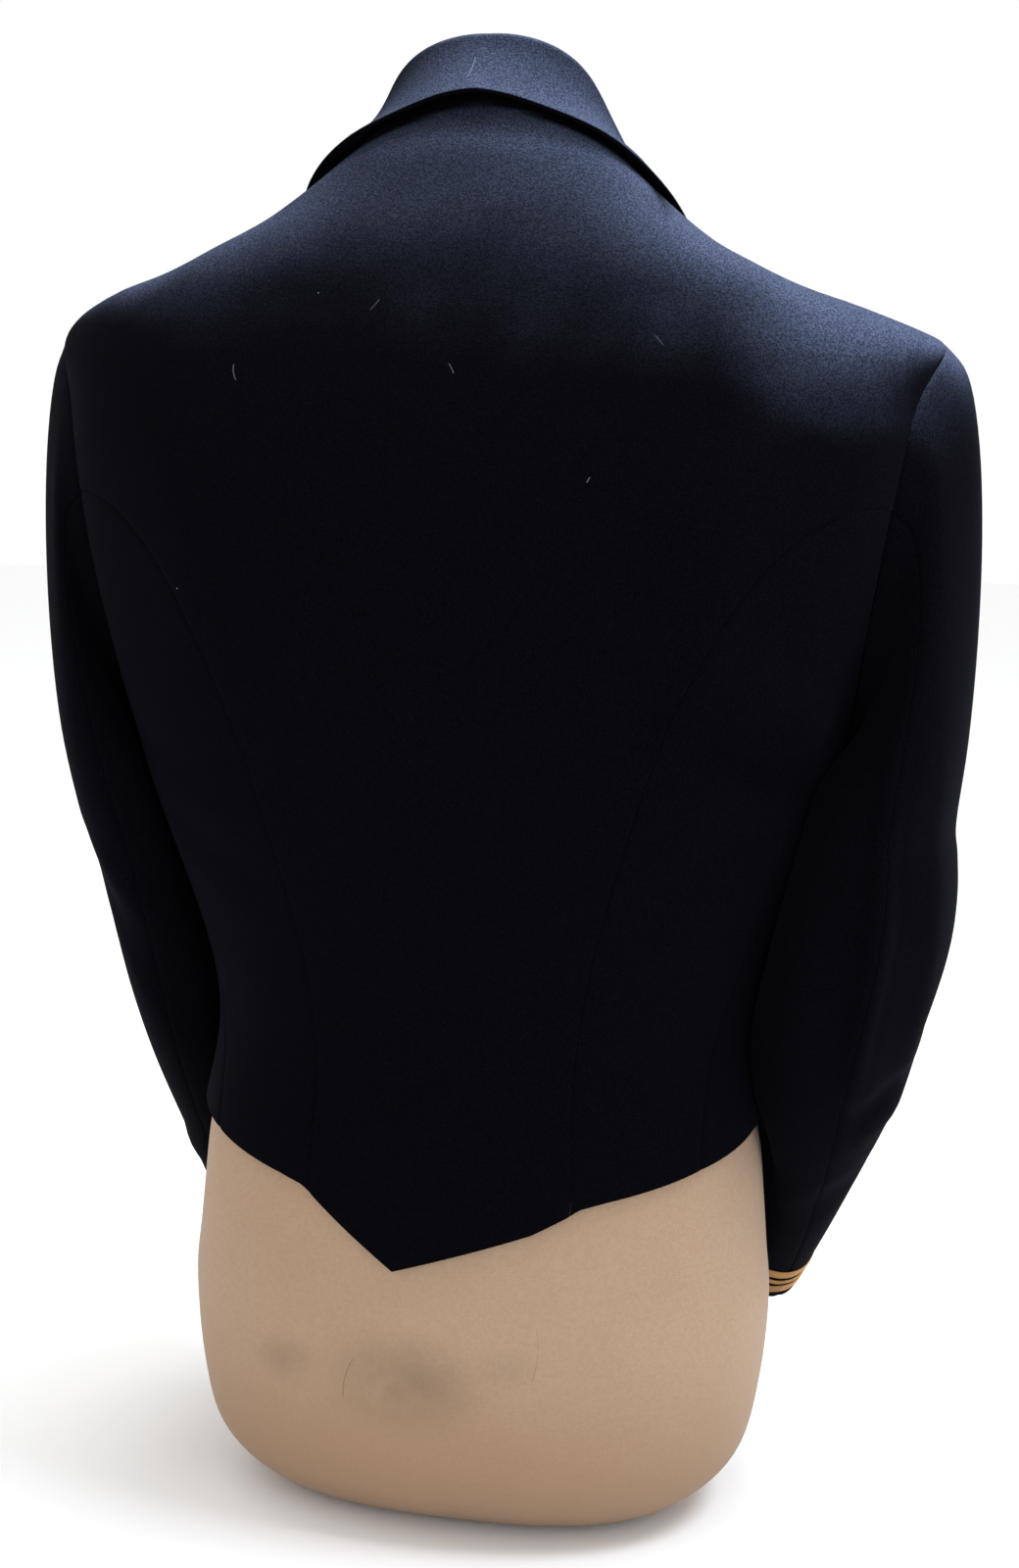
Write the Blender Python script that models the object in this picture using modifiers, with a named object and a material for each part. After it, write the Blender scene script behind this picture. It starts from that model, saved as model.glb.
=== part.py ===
"""A short uniform jacket, worn open, on a limbless dress form.

Metres, +Z up. The origin is the middle of the form's flat underside. The front of the jacket faces -Y
and the wearer's left side is +X. Every panel is a cloth wall whose outside is worked out from the
sections of the body and of the sleeves below.
"""

import math

import bpy
import numpy as np
from mathutils import Vector

# Cloth and clearances
CLOTH = 0.0022
SHARP_ANGLE = math.radians(50)
SEAM_GAP = 0.0003
EDGE_TRIM = 0.0003

# Sections of the jacket's outside, from below the hem up to the neckline.
# back and front are depths from the middle plane, square fills out the corners, and ease is the room
# between the cloth and the form at the centre (ease) and at the sides (ease_side).
BODY_COLUMNS = (
    "half_width", "back", "front", "z_back", "z_side", "z_front", "square", "ease", "ease_side",
)
BODY_ROWS = {
    "below the hem": (0.1665, 0.1160, 0.112, 0.120, 0.120, 0.120, 0.02, 0.003, 0.003),
    "hem":           (0.1590, 0.1110, 0.108, 0.200, 0.200, 0.200, 0.02, 0.003, 0.003),
    "waist":         (0.1490, 0.1020, 0.108, 0.285, 0.285, 0.285, 0.03, 0.004, 0.004),
    "under the arm": (0.1880, 0.1180, 0.120, 0.405, 0.405, 0.400, 0.04, 0.006, 0.014),
    "blade":         (0.2160, 0.1240, 0.122, 0.510, 0.510, 0.490, 0.05, 0.006, 0.026),
    "yoke":          (0.2310, 0.1120, 0.104, 0.598, 0.590, 0.570, 0.05, 0.004, 0.026),
    "shoulder":      (0.2320, 0.0920, 0.084, 0.658, 0.634, 0.630, 0.03, 0.003, 0.016),
    "mid shoulder":  (0.1500, 0.0620, 0.078, 0.714, 0.657, 0.654, 0.02, 0.0016, 0.0016),
    "neckline":      (0.0765, 0.0300, 0.072, 0.762, 0.706, 0.681, 0.02, 0.003, 0.003),
}
LEVELS = list(BODY_ROWS)
UNDERARM_LEVEL = LEVELS.index("under the arm")
SHOULDER_LEVEL = LEVELS.index("shoulder")
NECK_LEVEL = LEVELS.index("neckline")

# Hem: height above the floor against the turn round the body, for the wearer's left half.
# Turn is in degrees from the centre back round to the centre front.
HEM_COLUMNS = ("turn", "height")
HEM_ROWS = {
    "back point":    (0, 0.158),
    "back seam":     (24, 0.195),
    "side seam":     (54, 0.211),
    "side":          (80, 0.222),
    "front dip":     (140, 0.222),
    "front point":   (160, 0.195),
}
POINT_DRIFT = 7.0

# Between two heights the shoulders come to lean a little to the wearer's left and tilt up there
LEAN = 0.003
LEAN_TILT = 0.04
LEAN_FROM = 0.60
LEAN_TO = 0.74

# Steps over which slopes of the body and of a sleeve are measured
LITTLE_TURN = 1.0
LITTLE_LEVEL = 0.03
LITTLE_PLACE = 0.05
FINE_LEVELS = 200
FINE_TURNS = 91
WALK_STEPS = 6

# Armhole, as turns and levels either side of the side line
ARMHOLE_TURN_BACK = 24.0
ARMHOLE_TURN_FRONT = 31.0
ARMHOLE_BOTTOM = 3.10
BACK_SEAM_JOINT = 95.0
SIDE_SEAM_JOINT = 150.0

# Run of the two seams, as cubic curves: the lower pull is a turn from the hem's end and a level, and the
# upper pull a turn and a level from the armhole's end
BACK_SEAM_PULLS = ((2.0, 2.6), (-42.0, 0.18))
SIDE_SEAM_PULLS = ((1.0, 1.5), (-6.0, -0.694))

# Front opening: where the lapels start to turn
BREAK_TURN = 160.0
BREAK_LEVEL = 2.1

# How many steps each seam is sampled in. The fold of the lapel has as many as the armhole across from
# it, and the gorge, where the collar takes over, is at one of them.
SEAM_STEPS = 10
ARM_BACK_STEPS = 7
ARM_SIDE_STEPS = 6
ARM_FRONT_STEPS = 12
SHOULDER_STEPS = 7
NECK_STEPS = 8
GORGE_STEP = 8
GORGE_SHARE = GORGE_STEP / ARM_FRONT_STEPS
GORGE_GAP = 0.004

# Sleeve sections below the armhole, given as on the wearer's left arm.
# across is half the section's thickness, along is half its width from front seam to back seam,
# and turn swings its back edge outwards.
SLEEVE_COLUMNS = ("x", "y", "z", "across", "along", "turn")
SLEEVE_ROWS = {
    "left": {
        "under arm": (0.1950, 0.000, 0.395, 0.036, 0.074, 0.0),
        "upper arm": (0.1815, -0.010, 0.340, 0.036, 0.070, 2.0),
        "elbow":     (0.1735, -0.034, 0.275, 0.036, 0.064, 6.0),
        "forearm":   (0.1655, -0.080, 0.205, 0.036, 0.058, 14.0),
        "cuff":      (0.1560, -0.136, 0.122, 0.033, 0.054, 24.0),
    },
    "right": {
        "under arm": (0.2140, 0.000, 0.395, 0.035, 0.078, 6.0),
        "upper arm": (0.2065, -0.003, 0.340, 0.0435, 0.073, 12.0),
        "elbow":     (0.1880, -0.016, 0.275, 0.0455, 0.066, 20.0),
        "forearm":   (0.1630, -0.058, 0.205, 0.039, 0.060, 30.0),
        "cuff":      (0.1290, -0.121, 0.120, 0.032, 0.055, 40.0),
    },
}
ARM_CLEARANCE = 0.0030
PRESS_SOFTNESS = 0.006
ARM_GAP = 0.0006
CAP_FULLNESS = (0.020, 0.04)
CAP_RISE = 0.009
CAP_DROP = 0.30
CAP_STEPS = 6
ARM_STEPS_PER_ROW = 3
ARM_AXIS = Vector((0.97, 0.0, -0.25)).normalized()

# Cuff lace
LACE_THICKNESS = 0.0009
LACE_LIFT = 0.0008
LACE_EDGE = 0.0075
LACE_GAP = 0.0027
LACE_WIDTHS = {"lower": 0.0060, "middle": 0.0035, "upper": 0.0060}

# Collar and lapels, in rows evenly spaced along the line that they turn over. That line runs from the
# centre back (0) by the side of the neck (1) and the gorge (2) to the lapel's break (3). stand is the
# height of the inner leaf and upright how far that leaf stands up rather than lies in line with the
# body, cover is how far the outer leaf reaches over the body, lift how far its edge stands off and
# rise the angle at which the section points upwards.
ROLL_RADIUS = 0.0038
COLLAR_COLUMNS = ("stand", "upright", "cover", "lift", "rise")
COLLAR_ROWS = {
    "centre back":  (0.0240, 0.10, 0.010, 0.0064, 0.0),
    "back of neck": (0.0245, 0.50, 0.016, 0.0060, 0.0),
    "side of neck": (0.0170, 0.55, 0.021, 0.0052, 0.0),
    "front":        (0.0095, 0.30, 0.036, 0.0042, 8.0),
    "gorge":        (0.0060, 0.00, 0.038, 0.0040, 18.0),
}
LAPEL_ROWS = {
    "gorge": (0.0060, 0.00, 0.068, 0.0056, 18.0),
    "upper": (0.0054, 0.00, 0.064, 0.0046, 4.0),
    "chest": (0.0052, 0.00, 0.048, 0.0038, 0.0),
    "lower": (0.0052, 0.00, 0.026, 0.0036, 0.0),
    "break": (0.0052, 0.00, 0.004, 0.0034, 0.0),
}
ROLL_BENDS = (-45, 0, 45, 90)
FALL_SHARES = (0.35, 0.7, 1.0)
LEAF_FOOT = 0.0010

# Buttons
BUTTON_RADIUS = 0.0095
BUTTON_DOME = 0.0045
BUTTON_RIM = 0.0012
BUTTON_SIDES = 16
BUTTON_HEIGHTS = (0.232, 0.264, 0.296)
BUTTON_TURN = 146.0

# Dress form
FORM_SIDES = 36
FORM_LEVELS = 25
FORM_FOOT_RADIUS = 0.047
FORM_FOOT_HEIGHTS = (0.0, 0.003, 0.009, 0.020, 0.034, 0.052, 0.085)
FORM_TAPER = 0.13
FORM_NECK = {"low": (0.008, 0.94), "middle": (0.015, 0.82), "rim": (0.020, 0.62), "cap": (0.022, 0.30)}
FORM_NECK_LEAN = 0.7

# Colours and finishes: base colour, roughness, metallic
NAVY = (0.010, 0.012, 0.024, 1.0)
GOLD = (0.60, 0.33, 0.08, 1.0)
GILT = (0.75, 0.52, 0.20, 1.0)
CANVAS = (0.58, 0.42, 0.29, 1.0)


def clear_scene():
    for item in list(bpy.data.objects):
        bpy.data.objects.remove(item, do_unlink=True)


def material(name, colour, roughness, metallic=0.0):
    made = bpy.data.materials.new(name)
    made.use_nodes = True
    shader = made.node_tree.nodes["Principled BSDF"]
    shader.inputs["Base Color"].default_value = colour
    shader.inputs["Roughness"].default_value = roughness
    shader.inputs["Metallic"].default_value = metallic
    return made


def table(rows, columns):
    values = np.array(list(rows.values()), float)
    return {name: values[:, index] for index, name in enumerate(columns)}


BODY = table(BODY_ROWS, BODY_COLUMNS)
HEM = table(HEM_ROWS, HEM_COLUMNS)
SLEEVE = {word: table(rows, SLEEVE_COLUMNS) for word, rows in SLEEVE_ROWS.items()}


def smooth(values, place):
    """Reads a smooth curve through evenly spaced values, at a row number that may be fractional."""
    place = np.asarray(place, float)
    row = np.clip(np.floor(place).astype(int), 0, len(values) - 2)
    t = place - row
    padded = np.concatenate([[2 * values[0] - values[1]], values, [2 * values[-1] - values[-2]]])
    before, start, end, after = (padded[row + step] for step in range(4))
    slope_in = (end - before) / 2
    slope_out = (after - start) / 2
    return (
        (2 * t**3 - 3 * t**2 + 1) * start
        + (t**3 - 2 * t**2 + t) * slope_in
        + (3 * t**2 - 2 * t**3) * end
        + (t**3 - t**2) * slope_out
    )


def body_surface(turn, level):
    """Points of the jacket's outside at turns in degrees and levels in table rows."""
    turn = np.asarray(turn, float)
    level = np.asarray(level, float)
    row = {name: smooth(values, level) for name, values in BODY.items()}
    angle = np.radians(turn)
    fill = row["square"]
    across = (np.sin(angle) + fill * np.sin(3 * angle)) / (1 - fill)
    along = (np.cos(angle) - fill * np.cos(3 * angle)) / (1 - fill)
    rear = np.maximum(along, 0)
    fore = np.maximum(-along, 0)
    x = row["half_width"] * across
    y = row["back"] * rear - row["front"] * fore
    z = row["z_side"] + (row["z_back"] - row["z_side"]) * rear**2
    z = z + (row["z_front"] - row["z_side"]) * fore**2
    return np.stack(np.broadcast_arrays(x, y, z), axis=-1)


def unit(vectors):
    return vectors / np.maximum(np.linalg.norm(vectors, axis=-1, keepdims=True), 1e-9)


def body_slopes(turn, level):
    """How the body's outside runs for each degree of turn and for each level."""
    by_turn = body_surface(turn + LITTLE_TURN, level) - body_surface(turn - LITTLE_TURN, level)
    by_level = body_surface(turn, level + LITTLE_LEVEL) - body_surface(turn, level - LITTLE_LEVEL)
    return by_turn / (2 * LITTLE_TURN), by_level / (2 * LITTLE_LEVEL)


def body_normal(turn, level):
    by_turn, by_level = body_slopes(turn, level)
    return unit(np.cross(by_level, by_turn))


def body_point(turn, level, out=0.0):
    turn = np.asarray(turn, float)
    level = np.asarray(level, float)
    return body_surface(turn, level) + body_normal(turn, level) * np.asarray(out)[..., None]


def level_at_height(height):
    """Level of a height on the sides below the arms, where the sections are flat."""
    levels = np.linspace(0, UNDERARM_LEVEL, FINE_LEVELS)
    return np.interp(height, smooth(BODY["z_side"], levels), levels)


def hem_level(turn):
    """Level of the hem at a turn, for either side, with the back point pulled a little to one side."""
    turn = np.asarray(turn, float)
    back_seam = HEM_ROWS["back seam"][0]
    drift = POINT_DRIFT * np.maximum(1 - np.abs(turn - POINT_DRIFT) / back_seam, 0)
    return level_at_height(np.interp(np.abs(turn - drift), HEM["turn"], HEM["height"]))


def bezier(points, steps):
    points = np.array(points, float)
    t = np.linspace(0, 1, steps + 1)[:, None]
    return (
        (1 - t) ** 3 * points[0]
        + 3 * t * (1 - t) ** 2 * points[1]
        + 3 * t**2 * (1 - t) * points[2]
        + t**3 * points[3]
    )


def armhole(angle):
    """Turn and level of the armhole at an angle from the shoulder: 90 is its back, 180 its bottom."""
    angle = np.radians(np.asarray(angle, float))
    reach = np.where(np.sin(angle) > 0, ARMHOLE_TURN_BACK, ARMHOLE_TURN_FRONT)
    turn = 90 - reach * np.sin(angle)
    middle = (SHOULDER_LEVEL + ARMHOLE_BOTTOM) / 2
    half = (SHOULDER_LEVEL - ARMHOLE_BOTTOM) / 2
    return np.stack([turn, middle + half * np.cos(angle)], axis=-1)


# Angles of the armhole's samples, from the shoulder round by the back, for each panel that it cuts
BACK_ANGLES = np.linspace(0, BACK_SEAM_JOINT, ARM_BACK_STEPS + 1)
SIDE_ANGLES = np.linspace(BACK_SEAM_JOINT, SIDE_SEAM_JOINT, ARM_SIDE_STEPS + 1)
FRONT_ANGLES = np.linspace(SIDE_SEAM_JOINT, 360, ARM_FRONT_STEPS + 1)
ARM_ANGLES = np.concatenate([BACK_ANGLES[:-1], SIDE_ANGLES[:-1], FRONT_ANGLES[:-1]])


def seam(low, joint, pulls):
    """A seam from the hem, at a turn, up to the armhole, at an angle round it."""
    end = armhole(joint)
    start = (low, float(hem_level(low)))
    (low_turn, low_level), high_pull = pulls
    return bezier([start, (low + low_turn, low_level), end + np.array(high_pull), end], SEAM_STEPS)


def back_seam():
    """The curved back seam, from the hem to the armhole."""
    return seam(HEM_ROWS["back seam"][0], BACK_SEAM_JOINT, BACK_SEAM_PULLS)


def side_seam():
    """The side seam, from the hem to the bottom of the armhole."""
    return seam(HEM_ROWS["side seam"][0], SIDE_SEAM_JOINT, SIDE_SEAM_PULLS)


def shoulder_seam():
    """The shoulder seam, from the armhole to the neck."""
    levels = np.linspace(SHOULDER_LEVEL, NECK_LEVEL, SHOULDER_STEPS + 1)
    return np.stack([np.full_like(levels, 90.0), levels], axis=-1)


def hem_between(start, end, steps):
    turns = np.linspace(start, end, steps + 1)
    return np.stack([turns, hem_level(turns)], axis=-1)


def roll_place(share):
    """Turn and level of the lapel's fold from the break (0) to the neck (1), straight in front view."""
    share = np.asarray(share, float)
    climb = np.sin(np.radians(90 * share))
    level = BREAK_LEVEL + (NECK_LEVEL - BREAK_LEVEL) * climb
    low = float(smooth(BODY["half_width"], BREAK_LEVEL)) * math.sin(math.radians(BREAK_TURN))
    high = BODY["half_width"][-1]
    width = low + (high - low) * climb
    turn = 180 - np.degrees(np.arcsin(np.clip(width / smooth(BODY["half_width"], level), 0, 1)))
    return np.stack([turn, level], axis=-1)


def roll_line():
    """The fold of the lapel, from the break near the waist to the neck."""
    return roll_place(np.linspace(0, 1, ARM_FRONT_STEPS + 1))


def front_edge():
    low = HEM_ROWS["front point"][0]
    start = np.array([low, float(hem_level(low))])
    end = np.array([BREAK_TURN, BREAK_LEVEL])
    t = np.linspace(0, 1, SEAM_STEPS + 1)[:, None]
    return start + (end - start) * t


def joined(*runs):
    """Joins runs of points that each start where the one before ended."""
    return np.concatenate([runs[0]] + [run[1:] for run in runs[1:]])


def patch(bottom, top, left, right):
    """Fills the space between four rows of points with a grid that meets all four."""
    across = np.linspace(0, 1, len(bottom))[None, :, None]
    up = np.linspace(0, 1, len(left))[:, None, None]
    sides = (1 - across) * left[:, None] + across * right[:, None]
    ends = (1 - up) * bottom[None] + up * top[None]
    corners = (1 - up) * ((1 - across) * bottom[0] + across * bottom[-1])
    corners = corners + up * ((1 - across) * top[0] + across * top[-1])
    return sides + ends - corners


def trimmed(points, left=False, right=False, top=False, bottom=False):
    """Draws the named edges of a grid back by half a seam gap."""
    points = points.copy()
    if left:
        points[:, 0] += unit(points[:, 1] - points[:, 0]) * EDGE_TRIM
    if right:
        points[:, -1] += unit(points[:, -2] - points[:, -1]) * EDGE_TRIM
    if bottom:
        points[0] += unit(points[1] - points[0]) * EDGE_TRIM
    if top:
        points[-1] += unit(points[-2] - points[-1]) * EDGE_TRIM
    return points


def grid_object(name, points, look, collection, flip=False, wrap=False):
    """Makes an open surface from a grid of points, rows upwards and columns across."""
    rows, columns = points.shape[:2]
    points = leaned(points)
    spans = columns if wrap else columns - 1
    faces = []
    for i in range(rows - 1):
        for j in range(spans):
            k = (j + 1) % columns
            face = (i * columns + j, i * columns + k, (i + 1) * columns + k, (i + 1) * columns + j)
            faces.append(face[::-1] if flip else face)
    mesh = bpy.data.meshes.new(name)
    mesh.from_pydata([tuple(p) for p in points.reshape(-1, 3)], [], faces)
    mesh.shade_smooth()
    mesh.materials.append(look)
    made = bpy.data.objects.new(name, mesh)
    collection.objects.link(made)
    return made


def wall_object(name, outer, normals, look, collection, flip=False):
    """Makes a cloth wall as one closed solid, from a grid of outside points and the way out at each.

    Panels that share a seam share its points and normals, and the rims are split from the lower outside
    point to the upper inside one, so the edges stay parallel through the wall.
    """
    rows, columns = outer.shape[:2]
    points = leaned(np.concatenate([outer, outer - normals * CLOTH]).reshape(-1, 3))
    grid = np.arange(rows * columns).reshape(rows, columns)
    rim = list(grid[0]) + list(grid[1:, -1]) + list(grid[-1, -2::-1]) + list(grid[-2:0:-1, 0])
    under = rows * columns
    faces = []
    for i in range(rows - 1):
        for j in range(columns - 1):
            a, b, c, d = grid[i, j], grid[i, j + 1], grid[i + 1, j + 1], grid[i + 1, j]
            faces.append((a, b, c, d))
            faces.append((d + under, c + under, b + under, a + under))
    for here, after in zip(rim, rim[1:] + rim[:1]):
        a, b, c, d = after, here, here + under, after + under
        faces += [(a, b, d), (b, c, d)] if here < after else [(a, b, c), (a, c, d)]
    if flip:
        faces = [face[::-1] for face in faces]
    mesh = bpy.data.meshes.new(name)
    mesh.from_pydata([tuple(p) for p in points], [], [tuple(int(i) for i in face) for face in faces])
    mesh.shade_smooth()
    mesh.set_sharp_from_angle(angle=SHARP_ANGLE)
    mesh.materials.append(look)
    collection.objects.link(bpy.data.objects.new(name, mesh))


def thicken(item, thickness, offset=-1.0):
    wall = item.modifiers.new("Wall", "SOLIDIFY")
    wall.thickness = thickness
    wall.offset = offset
    wall.use_even_offset = False
    return item


def mirrored(points, side):
    """Gives the points of the wearer's left side (1) or right side (-1)."""
    return points * np.array([side, 1.0, 1.0])


def leaned(points):
    """Leans and tilts points about the shoulders, which hang a little lower on the wearer's right."""
    share = np.clip((points[..., 2] - LEAN_FROM) / (LEAN_TO - LEAN_FROM), 0, 1)
    eased = share**2 * (3 - 2 * share)
    moved = points.copy()
    moved[..., 0] += LEAN * eased
    moved[..., 2] += LEAN_TILT * eased * points[..., 0] * np.clip(1 - share, 0, 1) * 2
    return moved


def make_back(look, collection):
    right_edge = joined(back_seam(), armhole(BACK_ANGLES[::-1]))
    left_edge = right_edge * np.array([-1.0, 1.0])
    neck = np.stack([np.linspace(90, -90, 2 * NECK_STEPS + 1), np.full(2 * NECK_STEPS + 1, NECK_LEVEL)], -1)
    shoulder = shoulder_seam()
    top = joined(shoulder, neck, shoulder[::-1] * np.array([-1.0, 1.0]))[::-1]
    low = HEM_ROWS["back seam"][0]
    bottom = hem_between(-low, low, len(top) - 1)
    field = patch(bottom, top, left_edge, right_edge)
    points = trimmed(body_surface(field[..., 0], field[..., 1]), left=True, right=True, top=True)
    wall_object("back", points, body_normal(field[..., 0], field[..., 1]), look, collection, flip=True)


def make_side_body(side, name, look, collection):
    left_edge = back_seam()
    right_edge = side_seam()
    top = armhole(SIDE_ANGLES)
    bottom = hem_between(left_edge[0, 0], right_edge[0, 0], ARM_SIDE_STEPS)
    field = patch(bottom, top, left_edge, right_edge)
    points = trimmed(body_surface(field[..., 0], field[..., 1]), left=True, right=True, top=True)
    normals = mirrored(body_normal(field[..., 0], field[..., 1]), side)
    wall_object(name, mirrored(points, side), normals, look, collection, flip=side > 0)


def front_field():
    arm = armhole(FRONT_ANGLES)
    left_edge = joined(side_seam(), arm)
    right_edge = joined(front_edge(), roll_line())
    bottom = hem_between(left_edge[0, 0], right_edge[0, 0], SHOULDER_STEPS)
    return patch(bottom, shoulder_seam(), left_edge, right_edge)


def make_front(side, name, look, collection):
    field = front_field()
    points = trimmed(body_surface(field[..., 0], field[..., 1]), left=True, top=True)
    normals = mirrored(body_normal(field[..., 0], field[..., 1]), side)
    wall_object(name, mirrored(points, side), normals, look, collection, flip=side > 0)


def fold_path(reach):
    """Turn and level of the line that the collar and lapel turn over, at places along it."""
    reach = np.asarray(reach, float)
    round_neck = np.stack([90 * np.minimum(reach, 1), np.full_like(reach, NECK_LEVEL)], -1)
    front = roll_place(np.interp(reach, (1.0, 2.0, 3.0), (1.0, GORGE_SHARE, 0.0)))
    return np.where(reach[..., None] <= 1, round_neck, front)


def walked(place, heading, distance):
    """Walks over the body from places, each with its heading, and gives the places reached."""
    place = place.copy()
    for _ in range(WALK_STEPS):
        turn, level = place[:, 0], place[:, 1]
        by_turn, by_level = body_slopes(turn, level)
        step = heading * (distance / WALK_STEPS)[:, None]
        a = (by_turn * by_turn).sum(-1)
        b = (by_turn * by_level).sum(-1)
        c = (by_level * by_level).sum(-1)
        p = (by_turn * step).sum(-1)
        q = (by_level * step).sum(-1)
        place[:, 0] += (c * p - b * q) / (a * c - b * b)
        place[:, 1] += (a * q - b * p) / (a * c - b * b)
    return place


def turned_leaf(rows, first, last, reach):
    """Outside of a leaf that stands up from the fold path and turns over onto the body.

    The table's rows are spread from first to last along that path, and the leaf is sampled at reach.
    """
    row = (reach - first) / (last - first) * (len(rows) - 1)
    size = {name: smooth(values, row)[:, None] for name, values in table(rows, COLLAR_COLUMNS).items()}
    place = fold_path(reach)
    base = body_surface(place[:, 0], place[:, 1])
    normal = body_normal(place[:, 0], place[:, 1])
    before, after = fold_path(reach - LITTLE_LEVEL), fold_path(reach + LITTLE_LEVEL)
    along = unit(body_surface(after[:, 0], after[:, 1]) - body_surface(before[:, 0], before[:, 1]))
    away = unit(np.cross(normal, along))
    rise = np.radians(size["rise"])
    heading = away * np.cos(rise) - along * np.sin(rise)
    up = unit(size["upright"] * np.array([0.0, 0.0, 1.0]) - away * (1 - size["upright"]))
    side = unit(normal - up * (normal * up).sum(-1, keepdims=True))
    out = 2 * ROLL_RADIUS - CLOTH
    fold = size["stand"] - ROLL_RADIUS
    points = [base + up * LEAF_FOOT - side * CLOTH, base + up * fold - side * CLOTH]
    for bend in ROLL_BENDS:
        top = math.radians(bend)
        over = fold + ROLL_RADIUS * math.cos(top)
        points.append(base + up * over + side * (ROLL_RADIUS - CLOTH + ROLL_RADIUS * math.sin(top)))
    points.append(base + side * out)
    for share in FALL_SHARES:
        there = walked(place, heading, size["cover"][:, 0] * share)
        high = out + (size["lift"] - out) * share
        spot = body_surface(there[:, 0], there[:, 1])
        points.append(spot + body_normal(there[:, 0], there[:, 1]) * high)
    return np.stack(points, axis=0)


def make_collar(look, collection):
    round_neck = np.linspace(0, 1, NECK_STEPS + 1)
    down_front = np.linspace(1, 2, ARM_FRONT_STEPS - GORGE_STEP + 1)
    down_front[-1] -= GORGE_GAP
    half = turned_leaf(COLLAR_ROWS, 0, 2, np.concatenate([round_neck, down_front[1:]]))
    other = mirrored(half, -1)[:, :0:-1]
    points = np.concatenate([other, half], axis=1)
    thicken(grid_object("collar", points, look, collection), CLOTH)


def make_lapel(side, name, look, collection):
    reach = np.linspace(2, 3, GORGE_STEP + 1)
    reach[0] += GORGE_GAP
    points = turned_leaf(LAPEL_ROWS, 2, 3, reach)
    thicken(grid_object(name, mirrored(points, side), look, collection, flip=side < 0), CLOTH)


def make_button(side, name, height, look, collection):
    """A plain domed button, a profile turned round its own axis."""
    level = level_at_height(height)
    spot = leaned(mirrored(body_point(BUTTON_TURN, level, SEAM_GAP), side))
    normal = mirrored(body_normal(np.array(BUTTON_TURN), level), side)
    mesh = bpy.data.meshes.new(name)
    profile = [(0.0, 0.0, BUTTON_RIM + BUTTON_DOME)]
    for degrees in (30, 60, 90):
        angle = math.radians(degrees)
        profile.append((BUTTON_RADIUS * math.sin(angle), 0.0, BUTTON_RIM + BUTTON_DOME * math.cos(angle)))
    profile.append((BUTTON_RADIUS, 0.0, 0.0))
    profile.append((0.0, 0.0, 0.0))
    mesh.from_pydata(profile, [(i, i + 1) for i in range(len(profile) - 1)], [])
    mesh.materials.append(look)
    button = bpy.data.objects.new(name, mesh)
    collection.objects.link(button)
    turned = button.modifiers.new("Turned", "SCREW")
    turned.steps = turned.render_steps = BUTTON_SIDES
    turned.use_merge_vertices = True
    turned.merge_threshold = 0.00001
    button.location = Vector(spot)
    button.rotation_mode = "QUATERNION"
    button.rotation_quaternion = Vector(normal).to_track_quat("Z", "Y")


def sleeve_ring(place, angles, word):
    """Section of the sleeve at a fractional table row, at angles round it, and the way down it."""
    sizes = SLEEVE[word]
    row = {name: float(smooth(values, place)) for name, values in sizes.items()}
    before, after = place - LITTLE_PLACE, place + LITTLE_PLACE
    ahead = [smooth(sizes[name], after) - smooth(sizes[name], before) for name in "xyz"]
    down = Vector([float(step) for step in ahead]).normalized()
    outward = math.radians(row["turn"])
    back = Vector((math.sin(outward), math.cos(outward), 0.0))
    back = (back - down * back.dot(down)).normalized()
    out = back.cross(-down)
    angles = np.radians(angles)[:, None]
    across = np.cos(angles) * row["across"] * np.array(out)
    along = np.sin(angles) * row["along"] * np.array(back)
    centre = np.array([row[name] for name in "xyz"])
    return centre + across + along, np.array(down)


def body_width(y, z):
    """Distance of the body's outside from the middle plane at a depth and a height."""
    levels = np.linspace(0, NECK_LEVEL, FINE_LEVELS)
    level = np.interp(z, smooth(BODY["z_side"], levels), levels)
    ring = body_surface(np.linspace(180, 0, FINE_TURNS), level)
    return np.interp(y, ring[:, 1], ring[:, 0], left=0.0, right=0.0)


def off_body(points, share=1.0):
    """Presses points that would lie in the body, or too near it, softly out sideways."""
    softness = PRESS_SOFTNESS * share
    pressed = points.copy()
    for point in pressed:
        least = body_width(point[1], point[2]) + ARM_CLEARANCE
        past = point[0] - least
        point[0] = least + (past + math.hypot(past, softness)) / 2
    return pressed


def armhole_rim():
    """Points of the armhole, the body's way out at each, and how low each lies from 0 (top) to 1."""
    edge = armhole(ARM_ANGLES)
    low = 0.5 - 0.5 * np.cos(np.radians(ARM_ANGLES))[:, None]
    return body_surface(edge[:, 0], edge[:, 1]), body_normal(edge[:, 0], edge[:, 1]), low


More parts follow.
